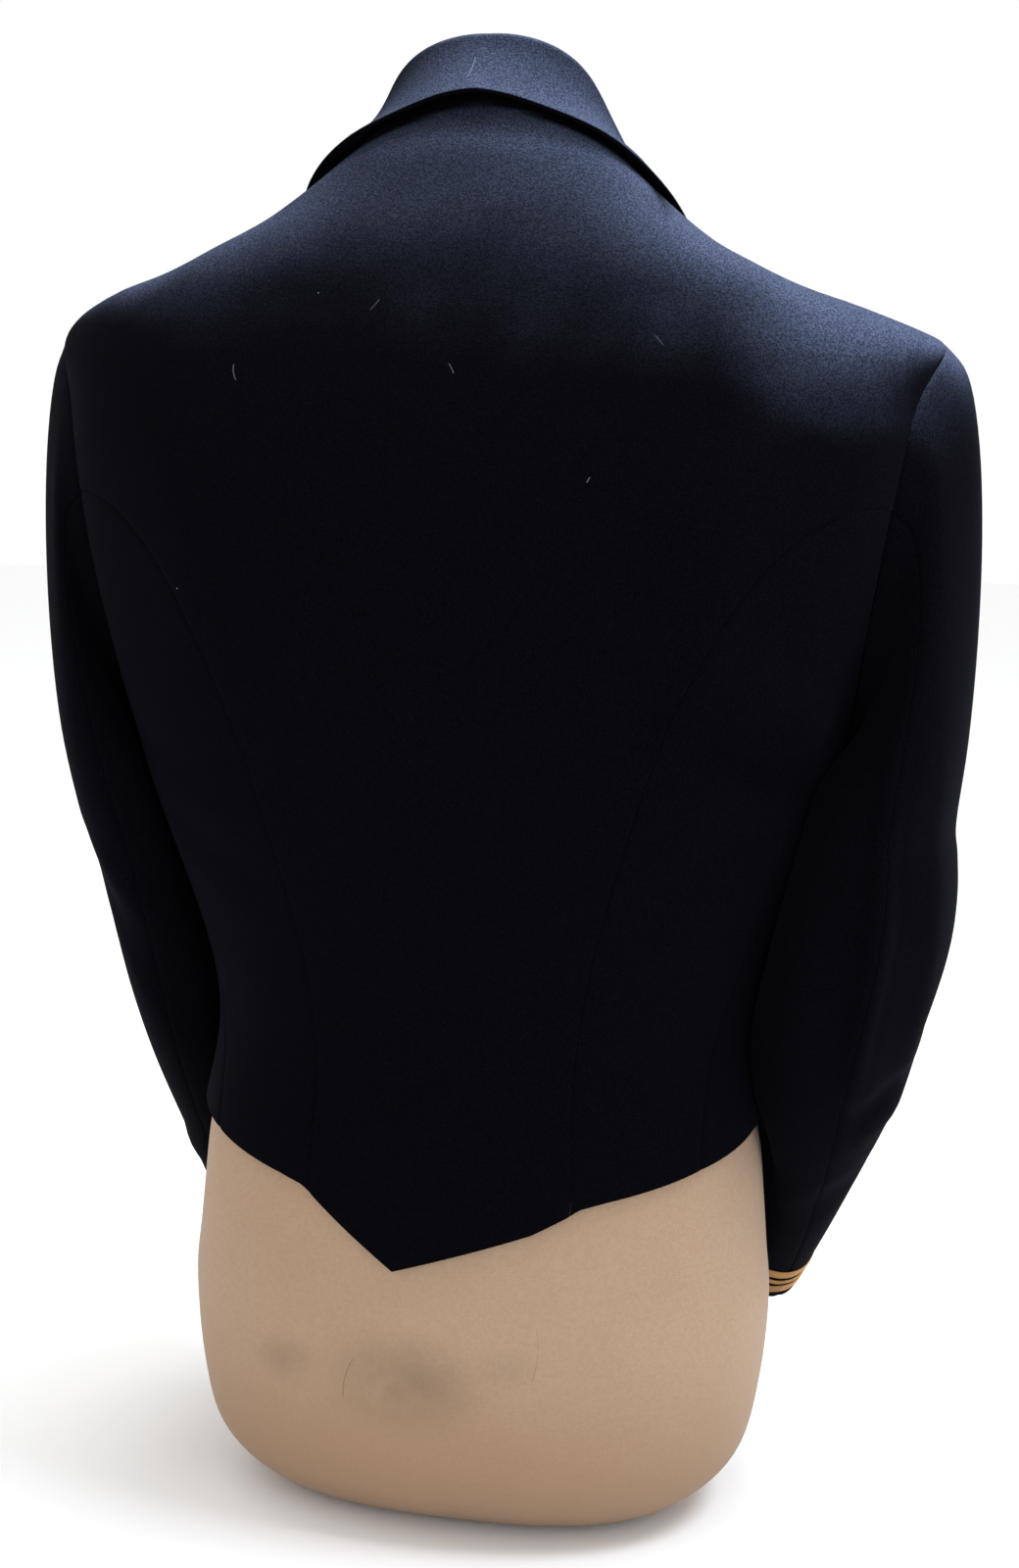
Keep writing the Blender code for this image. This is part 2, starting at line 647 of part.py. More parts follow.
def sleeve_grid(word):
    """Outside of the sleeve as a grid: rows run from the armhole down to the cuff."""
    start, normal, low = armhole_rim()
    along = np.roll(start, -1, axis=0) - np.roll(start, 1, axis=0)
    away = unit(np.cross(along, normal))
    leave = unit(away * (1 - low) + np.array(ARM_AXIS) * low)
    ring, down = sleeve_ring(0.0, ARM_ANGLES, word)
    span = np.linalg.norm(ring - start, axis=1, keepdims=True)
    least, share = CAP_FULLNESS
    first = start + leave * (least + share * span) + normal * CAP_RISE * (1 - low)
    second = ring - down * span * CAP_DROP
    rows = [start + leave * ARM_GAP]
    for t in np.linspace(0, 1, CAP_STEPS + 1)[1:]:
        row = (1 - t) ** 3 * start + 3 * t * (1 - t) ** 2 * first + 3 * t**2 * (1 - t) * second + t**3 * ring
        rows.append(off_body(row, t))
    last = len(SLEEVE_ROWS[word]) - 1
    for place in np.linspace(0, last, last * ARM_STEPS_PER_ROW + 1)[1:]:
        rows.append(off_body(sleeve_ring(place, ARM_ANGLES, word)[0]))
    return np.array(rows)


def sleeve_split():
    """Samples at which the sleeve's back seam and front seam run."""
    return ARM_BACK_STEPS, ARM_BACK_STEPS + ARM_SIDE_STEPS + ARM_FRONT_STEPS // 2


def tube_normals(grid):
    """The way out at each point of a tube's grid, whose rows run up it and columns round it."""
    round_it = np.roll(grid, -1, axis=1) - np.roll(grid, 1, axis=1)
    return unit(np.cross(round_it, np.gradient(grid, axis=0)))


def make_sleeve(side, word, look, collection):
    grid = sleeve_grid(word)[::-1]
    normals = tube_normals(grid)
    _, rim_normals, low = armhole_rim()
    normals[-1] = unit(rim_normals * (1 - low) + normals[-1] * low)
    both = np.concatenate([grid, normals], axis=-1)
    back, front = sleeve_split()
    under = both[:, back:front + 1]
    over = np.concatenate([both[:, front:], both[:, :back + 1]], axis=1)
    for part, cut in (("top_sleeve", over), ("under_sleeve", under)):
        points = mirrored(trimmed(cut[..., :3], left=True, right=True), side)
        wall_object(f"{part}_{word}", points, mirrored(cut[..., 3:], side), look, collection, flip=side < 0)


def make_lace(side, word, look, collection):
    """Three bands round the cuff, moved out from the sleeve's own lowest two rows of points."""
    grid = sleeve_grid(word)[::-1]
    out = tube_normals(grid)[0]
    up = unit(grid[1] - grid[0])
    low = LACE_EDGE
    for part, width in LACE_WIDTHS.items():
        rings = [grid[0] + up * distance + out * LACE_LIFT for distance in (low, low + width)]
        item = grid_object(
            f"cuff_lace_{part}_{word}", mirrored(np.array(rings), side), look, collection, side < 0, True
        )
        thicken(item, LACE_THICKNESS, offset=1.0)
        low += width + LACE_GAP


def form_foot(turns):
    """Rings of the form from its flat underside up to where the sections of the body take over."""
    top = body_point(turns, np.zeros_like(turns), -(CLOTH + BODY["ease"][0]))
    flat = top * np.array([1.0, 1.0, 0.0])
    rings = []
    for height in FORM_FOOT_HEIGHTS:
        taper = FORM_TAPER * (1 - height / BODY["z_side"][0]) ** 2
        sag = 1 - min(height / FORM_FOOT_RADIUS, 1)
        inset = FORM_FOOT_RADIUS * (1 - math.sqrt(1 - sag**2))
        ring = flat * (1 - taper) - unit(flat) * inset
        ring[:, 2] = height
        rings.append(ring)
    return rings


def make_form(look, collection):
    """The form: rings from its flat underside up to the top of its neck, closed at both ends."""
    turns = np.linspace(0, 360, FORM_SIDES + 1)[:-1]
    rings = form_foot(turns)
    for level in np.linspace(0, NECK_LEVEL, FORM_LEVELS):
        ease = smooth(BODY["ease"], level)
        side = smooth(BODY["ease_side"], level)
        room = ease + (side - ease) * np.sin(np.radians(turns)) ** 4
        rings.append(body_point(turns, np.full_like(turns, level), -(CLOTH + room)))
    last = rings[-1]
    middle = last.mean(axis=0)
    for rise, scale in FORM_NECK.values():
        ring = middle + (last - middle) * scale
        ring[:, 2] = ring[:, 2] + rise
        ring[:, 1] -= rise * FORM_NECK_LEAN
        rings.append(ring)
    rows = leaned(np.array(rings))
    count = len(turns)
    faces = []
    for i in range(len(rows) - 1):
        for j in range(count):
            k = (j + 1) % count
            faces.append((i * count + k, i * count + j, (i + 1) * count + j, (i + 1) * count + k))
    faces.append(tuple(range(count)))
    faces.append(tuple(reversed(range((len(rows) - 1) * count, len(rows) * count))))
    mesh = bpy.data.meshes.new("dress_form")
    mesh.from_pydata([tuple(p) for p in rows.reshape(-1, 3)], [], faces)
    mesh.shade_smooth()
    mesh.materials.append(look)
    collection.objects.link(bpy.data.objects.new("dress_form", mesh))


def main():
    clear_scene()
    collection = bpy.data.collections.new("mess_jacket")
    bpy.context.scene.collection.children.link(collection)
    cloth = material("navy wool", NAVY, 0.9)
    lace = material("gold lace", GOLD, 0.5, 0.3)
    gilt = material("gilt metal", GILT, 0.3, 1.0)
    canvas = material("form canvas", CANVAS, 0.9)
    make_form(canvas, collection)
    make_back(cloth, collection)
    make_collar(cloth, collection)
    for side, word in ((1, "left"), (-1, "right")):
        make_side_body(side, f"side_body_{word}", cloth, collection)
        make_front(side, f"front_{word}", cloth, collection)
        make_sleeve(side, word, cloth, collection)
        make_lace(side, word, lace, collection)
        make_lapel(side, f"lapel_{word}", cloth, collection)
        for number, height in enumerate(BUTTON_HEIGHTS, start=1):
            make_button(side, f"button_{word}_{number}", height, gilt, collection)


main()
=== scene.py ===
"""Looks of a short uniform jacket on a limbless dress form: cloth, gold lace, buttons, form and stage.

Metres, +Z up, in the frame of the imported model: its origin is the middle of the form's flat underside,
the front faces -Y and the wearer's left side is +X. The cloth lies on the same sections as the solids
do, drawn finer, with closed seams, rounded edges and creases.
"""

import functools
import math

import bmesh
import bpy
import numpy as np
from mathutils import Matrix, Vector


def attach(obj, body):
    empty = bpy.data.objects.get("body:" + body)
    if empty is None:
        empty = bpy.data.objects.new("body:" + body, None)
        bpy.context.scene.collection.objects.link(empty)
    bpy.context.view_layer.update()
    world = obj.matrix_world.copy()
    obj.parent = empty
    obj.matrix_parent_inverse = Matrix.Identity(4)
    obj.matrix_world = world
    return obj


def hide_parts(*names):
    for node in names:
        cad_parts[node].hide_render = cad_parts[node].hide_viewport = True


bl_info = {
    "name": "Mess Jacket Dresser",
    "version": (1, 0, 0),
    "blender": (4, 5, 0),
    "location": "3D View > Sidebar > Jacket",
    "description": "Dresses a short uniform jacket and its form in cloth, lace and gilt",
    "category": "Object",
}

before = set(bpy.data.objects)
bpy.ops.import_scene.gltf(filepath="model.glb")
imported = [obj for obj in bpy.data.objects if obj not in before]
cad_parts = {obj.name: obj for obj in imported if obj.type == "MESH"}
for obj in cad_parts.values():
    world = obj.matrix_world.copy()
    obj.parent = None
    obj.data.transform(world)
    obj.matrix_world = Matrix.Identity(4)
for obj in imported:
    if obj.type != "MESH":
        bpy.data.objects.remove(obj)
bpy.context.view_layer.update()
ROOT = "root"
SIDES = {"left": 1, "right": -1}

# Cloth: its thickness, how far its rim rounds out at a free edge and at a seam, how far a seam is drawn
# back so that two walls don't share a place, how wide a seam dips, the angles that its rounded rim is
# drawn at, and the finer steps beside each edge
CLOTH = 0.0022
EDGE_BULGE = 0.0009
SEAM_BULGE = 0.0001
SEAM_TRIM = 0.0002
SEAM_REACH = 0.0018
RIM_ANGLES = (45, 90, 135)
NEAR_STEPS = np.array([0.12, 0.28, 0.6])

# Sections of the jacket's outside, from below the hem up to the neckline.
# back and front are depths from the middle plane, square fills out the corners, and ease is the room
# between the cloth and the form at the centre (ease) and at the sides (ease_side).
BODY_COLUMNS = (
    "half_width", "back", "front", "z_back", "z_side", "z_front", "square", "ease", "ease_side",
)
BODY_ROWS = {
    "below the hem": (0.1665, 0.1160, 0.112, 0.120, 0.120, 0.120, 0.02, 0.003, 0.003),
    "hem":           (0.1590, 0.1110, 0.108, 0.200, 0.200, 0.200, 0.02, 0.003, 0.003),
    "waist":         (0.1490, 0.1020, 0.108, 0.285, 0.285, 0.285, 0.03, 0.004, 0.004),
    "under the arm": (0.1880, 0.1180, 0.120, 0.405, 0.405, 0.400, 0.04, 0.006, 0.014),
    "blade":         (0.2160, 0.1240, 0.122, 0.510, 0.510, 0.490, 0.05, 0.006, 0.026),
    "yoke":          (0.2310, 0.1120, 0.104, 0.598, 0.590, 0.570, 0.05, 0.004, 0.026),
    "shoulder":      (0.2320, 0.0920, 0.084, 0.658, 0.634, 0.630, 0.03, 0.003, 0.016),
    "mid shoulder":  (0.1500, 0.0620, 0.078, 0.714, 0.657, 0.654, 0.02, 0.0016, 0.0016),
    "neckline":      (0.0765, 0.0300, 0.072, 0.762, 0.706, 0.681, 0.02, 0.003, 0.003),
}
LEVELS = list(BODY_ROWS)
UNDERARM_LEVEL = LEVELS.index("under the arm")
SHOULDER_LEVEL = LEVELS.index("shoulder")
NECK_LEVEL = LEVELS.index("neckline")

# Hem: height above the floor against the turn round the body, from the centre back to the centre front,
# and how far its back point is pulled to one side, in degrees
HEM_COLUMNS = ("turn", "height")
HEM_ROWS = {
    "back point":  (0, 0.158),
    "back seam":   (24, 0.195),
    "side seam":   (54, 0.211),
    "side":        (80, 0.222),
    "front dip":   (140, 0.222),
    "front point": (160, 0.195),
}
POINT_DRIFT = 7.0

# Between two heights the shoulders come to lean a little to the wearer's left and tilt up there
LEAN = 0.003
LEAN_TILT = 0.04
LEAN_FROM = 0.60
LEAN_TO = 0.74

# Steps over which slopes of the body and of a sleeve are measured, how finely the body is looked through
# for a height or a width, and in how many steps a line walks over it
LITTLE_TURN = 1.0
LITTLE_LEVEL = 0.03
LITTLE_PLACE = 0.05
FINE_LEVELS = 200
FINE_TURNS = 91
WALK_STEPS = 6

# Armhole, as turns and levels either side of the side line, and the pulls of the seams that end at it
ARMHOLE_TURN_BACK = 24.0
ARMHOLE_TURN_FRONT = 31.0
ARMHOLE_BOTTOM = 3.10
BACK_SEAM_JOINT = 95.0
SIDE_SEAM_JOINT = 150.0
BACK_SEAM_PULLS = ((2.0, 2.6), (-42.0, 0.18))
SIDE_SEAM_PULLS = ((1.0, 1.5), (-6.0, -0.694))

# Front opening: where the lapels start to turn
BREAK_TURN = 160.0
BREAK_LEVEL = 2.1

# How many fine steps each step of the solids is drawn in, the steps of each seam, and how far the collar
# and a lapel are each drawn back from the gorge, along the path of their fold
FINER = 5
SEAM_STEPS = 10 * FINER
ARM_BACK_STEPS = 7 * FINER
ARM_SIDE_STEPS = 6 * FINER
ARM_FRONT_STEPS = 12 * FINER
SHOULDER_STEPS = 7 * FINER
NECK_STEPS = 8 * FINER
GORGE_STEP = 8 * FINER
GORGE_SHARE = GORGE_STEP / ARM_FRONT_STEPS
GORGE_GAP = 0.004

# Sleeve sections below the armhole, given as on the wearer's left arm.
# across is half the section's thickness, along half its width from front seam to back seam,
# and turn swings its back edge outwards.
SLEEVE_COLUMNS = ("x", "y", "z", "across", "along", "turn")
SLEEVE_ROWS = {
    "left": {
        "under arm": (0.1950, 0.000, 0.395, 0.036, 0.074, 0.0),
        "upper arm": (0.1815, -0.010, 0.340, 0.036, 0.070, 2.0),
        "elbow":     (0.1735, -0.034, 0.275, 0.036, 0.064, 6.0),
        "forearm":   (0.1655, -0.080, 0.205, 0.036, 0.058, 14.0),
        "cuff":      (0.1560, -0.136, 0.122, 0.033, 0.054, 24.0),
    },
    "right": {
        "under arm": (0.2140, 0.000, 0.395, 0.035, 0.078, 6.0),
        "upper arm": (0.2065, -0.003, 0.340, 0.0435, 0.073, 12.0),
        "elbow":     (0.1880, -0.016, 0.275, 0.0455, 0.066, 20.0),
        "forearm":   (0.1630, -0.058, 0.205, 0.039, 0.060, 30.0),
        "cuff":      (0.1290, -0.121, 0.120, 0.032, 0.055, 40.0),
    },
}

# Least room that a sleeve is pressed off the body with and how softly. Its cap first leaves the armhole by
# a least distance and a share of its length, is lifted at the shoulder, and is led into the arm over a
# share of its length. Then the steps of the cap and of the arm, and the way out that its underside takes.
ARM_CLEARANCE = 0.0030
PRESS_SOFTNESS = 0.006
CAP_FULLNESS = (0.020, 0.04)
CAP_RISE = 0.009
CAP_DROP = 0.30
CAP_STEPS = 6
ARM_STEPS_PER_ROW = 3
ARM_AXIS = Vector((0.97, 0.0, -0.25)).normalized()

# Cuff lace: from the cuff's edge up, how far its bands stray, and its ribs and steps
LACE_THICKNESS = 0.0004
LACE_LIFT = 0.0002
LACE_EDGE = 0.0072
LACE_GAP = 0.0030
LACE_WIDTHS = {"lower": 0.0078, "middle": 0.0042, "upper": 0.0078}
LACE_WANDER = 0.00035
LACE_RIBS = 300
LACE_RIB_HEIGHT = 0.00010
LACE_STEPS_PER_RIB = 4
LACE_ACROSS = 9

# Waves that a band strays in: how many go round the cuff, how far each band's are shifted, and their size.
# Then the shares of the thickness at the edge, for the crown and for the cords, where the cords lie and
# how wide they are, and how strong the ribs are at the edge.
LACE_STRAYS = ((5, 0.31, 1.0), (11, 0.17, 0.6))
LACE_SHARES = {"edge": 0.45, "crown": 0.45, "cord": 0.2}
LACE_CORD_PLACE = 0.82
LACE_CORD_WIDTH = 0.12
LACE_RIB_AT_EDGE = 0.25

# Collar and lapels, in rows evenly spaced along the line that they turn over. stand is the height up to the
# top of the fold, upright how much of the way there is straight up, cover how far the leaf reaches over the
# body, lift how far its edge stands off it, and rise how far its way is turned along the fold, in degrees.
ROLL_RADIUS = 0.0038
COLLAR_COLUMNS = ("stand", "upright", "cover", "lift", "rise")
COLLAR_ROWS = {
    "centre back":  (0.0240, 0.10, 0.0192, 0.0115, 0.0),
    "back of neck": (0.0245, 0.50, 0.0212, 0.0088, 0.0),
    "side of neck": (0.0170, 0.55, 0.0300, 0.0040, 0.0),
    "front":        (0.0095, 0.30, 0.037, 0.0040, 8.0),
    "gorge":        (0.0060, 0.00, 0.038, 0.0040, 18.0),
}
LAPEL_ROWS = {
    "gorge": (0.0060, 0.00, 0.068, 0.0056, 18.0),
    "upper": (0.0054, 0.00, 0.064, 0.0046, 4.0),
    "chest": (0.0052, 0.00, 0.048, 0.0038, 0.0),
    "lower": (0.0052, 0.00, 0.026, 0.0036, 0.0),
    "break": (0.0052, 0.00, 0.004, 0.0034, 0.0),
}
STAND_SHARES = np.linspace(0, 1, 7)
ROLL_BENDS = np.linspace(-45, 90, 11)
FALL_STEPS = 22
LEAF_FOOT = 0.0010
FALL_BEND = 0.98

# Waves of a turned leaf's free edge: how many along it, where they start, and their height
LEAF_WAVES = ((2.0, 0.13, 0.0005), (5.0, 0.61, 0.0003))

# Buttons: dome, the lip of the rim round it, heights of the three on each front, and lift off the cloth
BUTTON_RADIUS = 0.0095
BUTTON_DOME = 0.0045
BUTTON_RIM = 0.0012
BUTTON_LIP = 0.0011
BUTTON_HEIGHTS = (0.232, 0.264, 0.296)
BUTTON_TURN = 146.0
BUTTON_SIDES = 48
BUTTON_LIFT = 0.0003
BUTTON_DOME_ANGLES = range(0, 91, 9)

# Points of a button's edge, how far in they lie as shares of the lip and how high as shares of the rim,
# and its flat back's radius as a share of its own
BUTTON_EDGE = ((0.7, 0.85), (0.35, 1.12), (0.0, 0.8), (0.0, 0.3))
BUTTON_BACK = 0.96

# Dress form: sides round it, finer steps between its rings, rings under the jacket, the rounding and taper
# of its foot, and the rise and share of width of the rings that close its neck, which lean forward
FORM_SIDES = 144
FORM_FINER = 4
FORM_LEVELS = 25
FORM_FOOT_RADIUS = 0.047
FORM_FOOT_HEIGHTS = (0.0, 0.003, 0.009, 0.020, 0.034, 0.052, 0.085)
FORM_TAPER = 0.13
FORM_NECK = {"low": (0.008, 0.94), "middle": (0.015, 0.82), "rim": (0.020, 0.62), "cap": (0.022, 0.30)}
FORM_NECK_LEAN = 0.7

# Creases of the body. Each runs through turns and levels, with its half-width and its depth in metres,
# a trough where the depth is below nought. Turns below nought are on the wearer's right.
BODY_CREASES = {
    "right drag to the arm": ([(-24, 3.42), (-38, 3.26), (-52, 3.11), (-66, 2.99)], 0.009, -0.0060),
    "ridge over that drag":  ([(-28, 3.72), (-42, 3.54), (-56, 3.36), (-64, 3.24)], 0.013, 0.0036),
    "right blade hollow":    ([(-48, 4.90), (-44, 4.30), (-42, 3.80), (-46, 3.45)], 0.020, -0.0030),
    "right blade ridge":     ([(-32, 4.85), (-30, 4.30), (-32, 3.85)], 0.024, 0.0022),
    "right side drag":       ([(-30, 2.45), (-44, 2.70), (-58, 2.92)], 0.009, -0.0026),
    "right waist roll":      ([(-18, 1.95), (-34, 2.02), (-52, 2.12)], 0.012, 0.0020),
    "left blade hollow":     ([(50, 4.95), (46, 4.35), (45, 3.75), (52, 3.40)], 0.020, -0.0026),
    "left drag to the arm":  ([(22, 3.12), (38, 3.05), (54, 3.08), (64, 3.16)], 0.011, -0.0030),
    "left side drag":        ([(26, 2.55), (42, 2.66), (58, 2.90)], 0.010, -0.0024),
    "left waist roll":       ([(16, 2.10), (32, 2.02), (50, 2.06)], 0.013, 0.0016),
    "below the collar":      ([(-30, 7.55), (-10, 7.50), (12, 7.52), (32, 7.58)], 0.010, -0.0014),
    "left shoulder hollow":  ([(62, 6.55), (50, 6.40), (40, 6.10)], 0.018, -0.0016),
    "right shoulder hollow": ([(-60, 6.55), (-50, 6.35), (-38, 6.05)], 0.018, -0.0014),
    "left chest drag":       ([(150, 3.05), (134, 3.35), (120, 3.60)], 0.011, -0.0024),
    "left chest roll":       ([(156, 2.60), (138, 2.90), (118, 3.15)], 0.013, 0.0018),
    "left front drag":       ([(138, 1.75), (116, 2.10), (92, 2.55)], 0.010, -0.0022),
    "right chest drag":      ([(-152, 3.15), (-136, 3.40), (-121, 3.72)], 0.012, -0.0022),
    "right chest roll":      ([(-154, 2.70), (-136, 2.98), (-116, 3.20)], 0.012, 0.0018),
    "right front drag":      ([(-140, 1.80), (-118, 2.05), (-90, 2.48)], 0.011, -0.0024),
    "left shoulder front":   ([(112, 6.40), (124, 5.90), (132, 5.30)], 0.016, -0.0018),
    "right shoulder front":  ([(-112, 6.45), (-126, 5.95), (-134, 5.40)], 0.016, -0.0018),
}

# Creases of the sleeves, through angles round the sleeve (0 outside, 90 back, 180 inside, 270 front)
# and heights down it in table rows, 0 at the armpit and 4 at the cuff.
SLEEVE_CREASES = {
    "left": {
        "inner elbow upper": ([(300, 1.62), (262, 1.78), (224, 1.70), (186, 1.52)], 0.009, -0.0044),
        "inner elbow lower": ([(292, 2.22), (258, 2.34), (214, 2.20), (180, 2.02)], 0.008, -0.0038),
        "inner elbow roll":  ([(302, 1.95), (262, 2.06), (220, 1.96)], 0.010, 0.0030),
        "back drag":         ([(40, 0.55), (70, 0.95), (96, 1.45), (110, 1.95)], 0.010, -0.0030),
        "back ridge":        ([(60, 0.40), (84, 0.95), (104, 1.50)], 0.010, 0.0022),
        "outer drag":        ([(352, 1.10), (8, 1.60), (30, 2.10)], 0.011, -0.0022),
        "forearm drag":      ([(262, 2.85), (300, 2.70), (340, 2.86)], 0.008, -0.0020),
        "cuff roll":         ([(20, 3.10), (60, 3.25), (100, 3.15)], 0.009, 0.0016),
    },
    "right": {
        "back ridge":        ([(99, -0.80), (98, 0.10), (96, 0.90), (94, 1.70), (92, 2.50)], 0.005, 0.0044),
        "beside the ridge":  ([(74, -0.40), (72, 0.40), (70, 1.10), (66, 1.80), (62, 2.35)], 0.010, -0.0034),
        "inside the ridge":  ([(124, 0.10), (120, 0.75), (116, 1.40), (112, 2.00)], 0.009, -0.0030),
        "elbow break":       ([(26, 1.92), (52, 1.98), (78, 2.12), (102, 2.08)], 0.007, -0.0026),
        "elbow roll":        ([(30, 2.16), (58, 2.26), (84, 2.40)], 0.008, 0.0018),
        "inner elbow upper": ([(296, 1.58), (260, 1.74), (222, 1.66), (190, 1.50)], 0.009, -0.0042),
        "inner elbow lower": ([(290, 2.16), (256, 2.30), (218, 2.20), (184, 2.04)], 0.008, -0.0036),
        "inner elbow roll":  ([(298, 1.88), (258, 2.02), (216, 1.92)], 0.010, 0.0028),
        "behind the side":   (
            [(152, -2.60), (150, -1.40), (147, -0.20), (144, 0.90), (144, 1.90), (146, 3.00)], 0.023, 0.0150,
        ),
        "forearm drag":      ([(60, 2.72), (84, 2.92), (104, 3.16)], 0.009, -0.0022),
        "outer drag":        ([(2, 0.90), (18, 1.40), (36, 1.86)], 0.012, -0.0024),
    },
}

# How a crease is drawn: steps between its points, where its swell stops falling near its ends, the power
# that the swell is drawn with, and the least width as a share of the widest
CREASE_STEPS = 8
CREASE_END = 0.03
CREASE_SWELL = 0.7
CREASE_NARROW = 0.75

# How far from an armhole a sleeve takes the body's creases, and the least room between the body and a
# sleeve that a crease brings nearer
ARMHOLE_REACH = 0.012
HUG_CLEARANCE = 0.0018

# Camera and the picture that it frames. Its middle axis lies at a pixel across, and the horizon some
# pixels above the picture's middle.
PICTURE = (1040, 1600)
LENS_PIXELS = 2300.0
SENSOR = 36.0
AXIS_PIXEL_X = 500.0
HORIZON_PIXELS_UP = 350.0
CAMERA_TURN = 12.8
CAMERA_DISTANCE = 1.212
CAMERA_HEIGHT = 0.579
CAMERA_DOWN = math.atan(HORIZON_PIXELS_UP / LENS_PIXELS)
CAMERA_ROLL = 1.07

# Lights: where each stands, what it faces, its size, its share of the power and its colour
LIGHTS = {
    "window":  ((-1.40, 0.05, 2.50), (0.0, 0.0, 0.60), (1.0, 1.0), 0.57, (0.84, 0.91, 1.00)),
    "door":    ((-2.30, 1.30, 0.50), (0.0, 0.0, 0.25), (0.7, 1.0), 0.10, (0.58, 0.82, 1.00)),
    "ceiling": ((0.05, -0.25, 2.60), (0.0, 0.0, 0.55), (1.0, 1.0), 0.22, (0.97, 0.98, 1.00)),
    "lamp":    ((0.50, 2.60, 0.90), (0.0, 0.0, 0.25), (1.4, 1.2), 0.03, (1.00, 0.90, 0.78)),
}
FLOOR_SIDES = 96
FLOOR_RADIUS = 9.0
FLOOR_ROUGHNESS = 0.9

# Name of the UV map, which is in metres, and how near two points of a mesh are one
WEAVE_MAP = "Weave"
WELD = 0.00001

# Finishes: the values of the two shared effects and of the shader, the least roughness and what the nap
# adds to it, and the bump's depth and strength
FINISHES = {
    "navy wool": {
        "threads": {"Across": 620.0, "Up": 620.0, "Slant": 1.0, "Uneven": 0.9},
        "surface": {"Blotch Scale": 11.0, "Nap Scale": 1050.0, "Speck Scale": 42.0, "Speck Size": 0.022},
        "shader": {
            "Sheen Weight": 0.014,
            "Sheen Roughness": 0.4,
            "Sheen Tint": (0.42, 0.50, 0.78, 1),
            "Specular IOR Level": 0.02,
        },
        "rough": (0.88, 0.1),
        "bump": (0.00045, 0.9),
    },
    "gold lace": {
        "threads": {"Across": 1030.0, "Up": 1600.0, "Slant": 0.35, "Uneven": 0.25},
        "surface": {"Blotch Scale": 60.0, "Nap Scale": 2500.0, "Speck Scale": 60.0, "Speck Size": 0.0},
        "shader": {},
        "rough": (0.36, 0.25),
        "bump": (0.00012, 1.0),
    },
    "gilt metal": {
        "threads": {"Across": 0.0, "Up": 0.0, "Slant": 0.0, "Uneven": 0.0},
        "surface": {"Blotch Scale": 160.0, "Nap Scale": 1800.0, "Speck Scale": 60.0, "Speck Size": 0.0},
        "shader": {"Metallic": 1.0},
        "rough": (0.16, 0.2),
        "bump": (0.00004, 0.5),
    },
    "form canvas": {
        "threads": {"Across": 1100.0, "Up": 1100.0, "Slant": 0.0, "Uneven": 0.5},
        "surface": {"Blotch Scale": 9.0, "Nap Scale": 420.0, "Speck Scale": 70.0, "Speck Size": 0.02},
        "shader": {"Sheen Weight": 0.08},
        "rough": (0.72, 0.15),
        "bump": (0.00012, 0.7),
    },
}

# Woven threads: the noise that they drift with and how far across and up, and the heights between which
# a gap opens
THREAD_DRIFT = {"Scale": 160.0, "Detail": 3.0}
THREAD_STRAYS = (4.0, 3.0)
THREAD_GAPS = (0.30, 0.08)

# Nap and blotches: detail and edges of the blotches, detail of the nap, the noise that bends the specks
# and how far, and the share of places that have no speck
BLOTCH_DETAIL = 4.0
BLOTCH_EDGES = (0.35, 0.68)
NAP_DETAIL = {"Detail": 3.0, "Roughness": 0.7}
SPECK_BEND = {"Scale": 300.0, "Detail": 1.0}
SPECK_BEND_SIZE = 0.0016
SPECK_FREE = 0.86

# Share of the lesser of thread and nap in a bump
LESSER_RELIEF = 0.3

# Wool: where its nap is raised; for the light painted on it, the way that the painted light falls from,
# between which shares of facing that way it is painted and how, how uneven that is and the heights
# between which it begins; and how strong its specks are
NAP_RAISED = (0.38, 0.66)
LIGHT_PAINTED_FROM = (-0.20, 0.0, 0.98)
PAINTED_LIGHT_FACING = (0.26, 0.96)
PAINTED_LIGHT_POWER = 1.2
PAINTED_LIGHT_UNEVEN = 0.08
PAINTED_LIGHT_HEIGHTS = (0.535, 0.615)
WOOL_SPECKS = 0.5

# Gold lace: how far it is aged, and how metallic its threads are and how much less its gaps
LACE_AGED = 0.4
LACE_METAL = 0.35
LACE_GAPS_DULLER = 0.30

# Canvas: strength of its blotches, its grain, specks and gaps, where the grain shows, the noise that
# breaks up the smudges and where, and the height below which shade is painted on its foot and how far
CANVAS_BLOTCHES = 0.22
CANVAS_GRAIN = 0.22
CANVAS_GRAIN_EDGES = (0.36, 0.64)
CANVAS_SPECKS = 0.35
CANVAS_GAPS = 0.12
SMUDGE_PATCHES = {"Scale": 30.0, "Detail": 6.0}
SMUDGE_PATCH_EDGES = (0.10, 0.66)
SHADED_BELOW = 0.13
SHADED_SHARE = 0.9

# Soft spots, each with its middle, its half sizes and its strength: smudges on the form's back,
# and spots of more painted light on the wool's right shoulder and its collar
SMUDGES = (
    ((0.017, 0.11, 0.094), (0.054, 0.15, 0.037), 0.75),
    ((0.083, 0.09, 0.096), (0.026, 0.15, 0.020), 0.45),
    ((-0.040, 0.105, 0.108), (0.022, 0.15, 0.016), 0.25),
)
PAINTED_LIGHT_SPOTS = (
    ((-0.185, 0.02, 0.605), (0.085, 0.15, 0.080), 0.30),
    ((0.030, 0.03, 0.775), (0.090, 0.15, 0.050), 0.10),
)

# Hair marks on the form's back: middle (x, z), half length, slant, bend and strength
HAIRS = (
    ((0.0475, 0.0938), 0.0125, -0.27, -13.0, 0.60),
    ((-0.0547, 0.1170), 0.0165, -0.04, 8.0, 0.20),
)
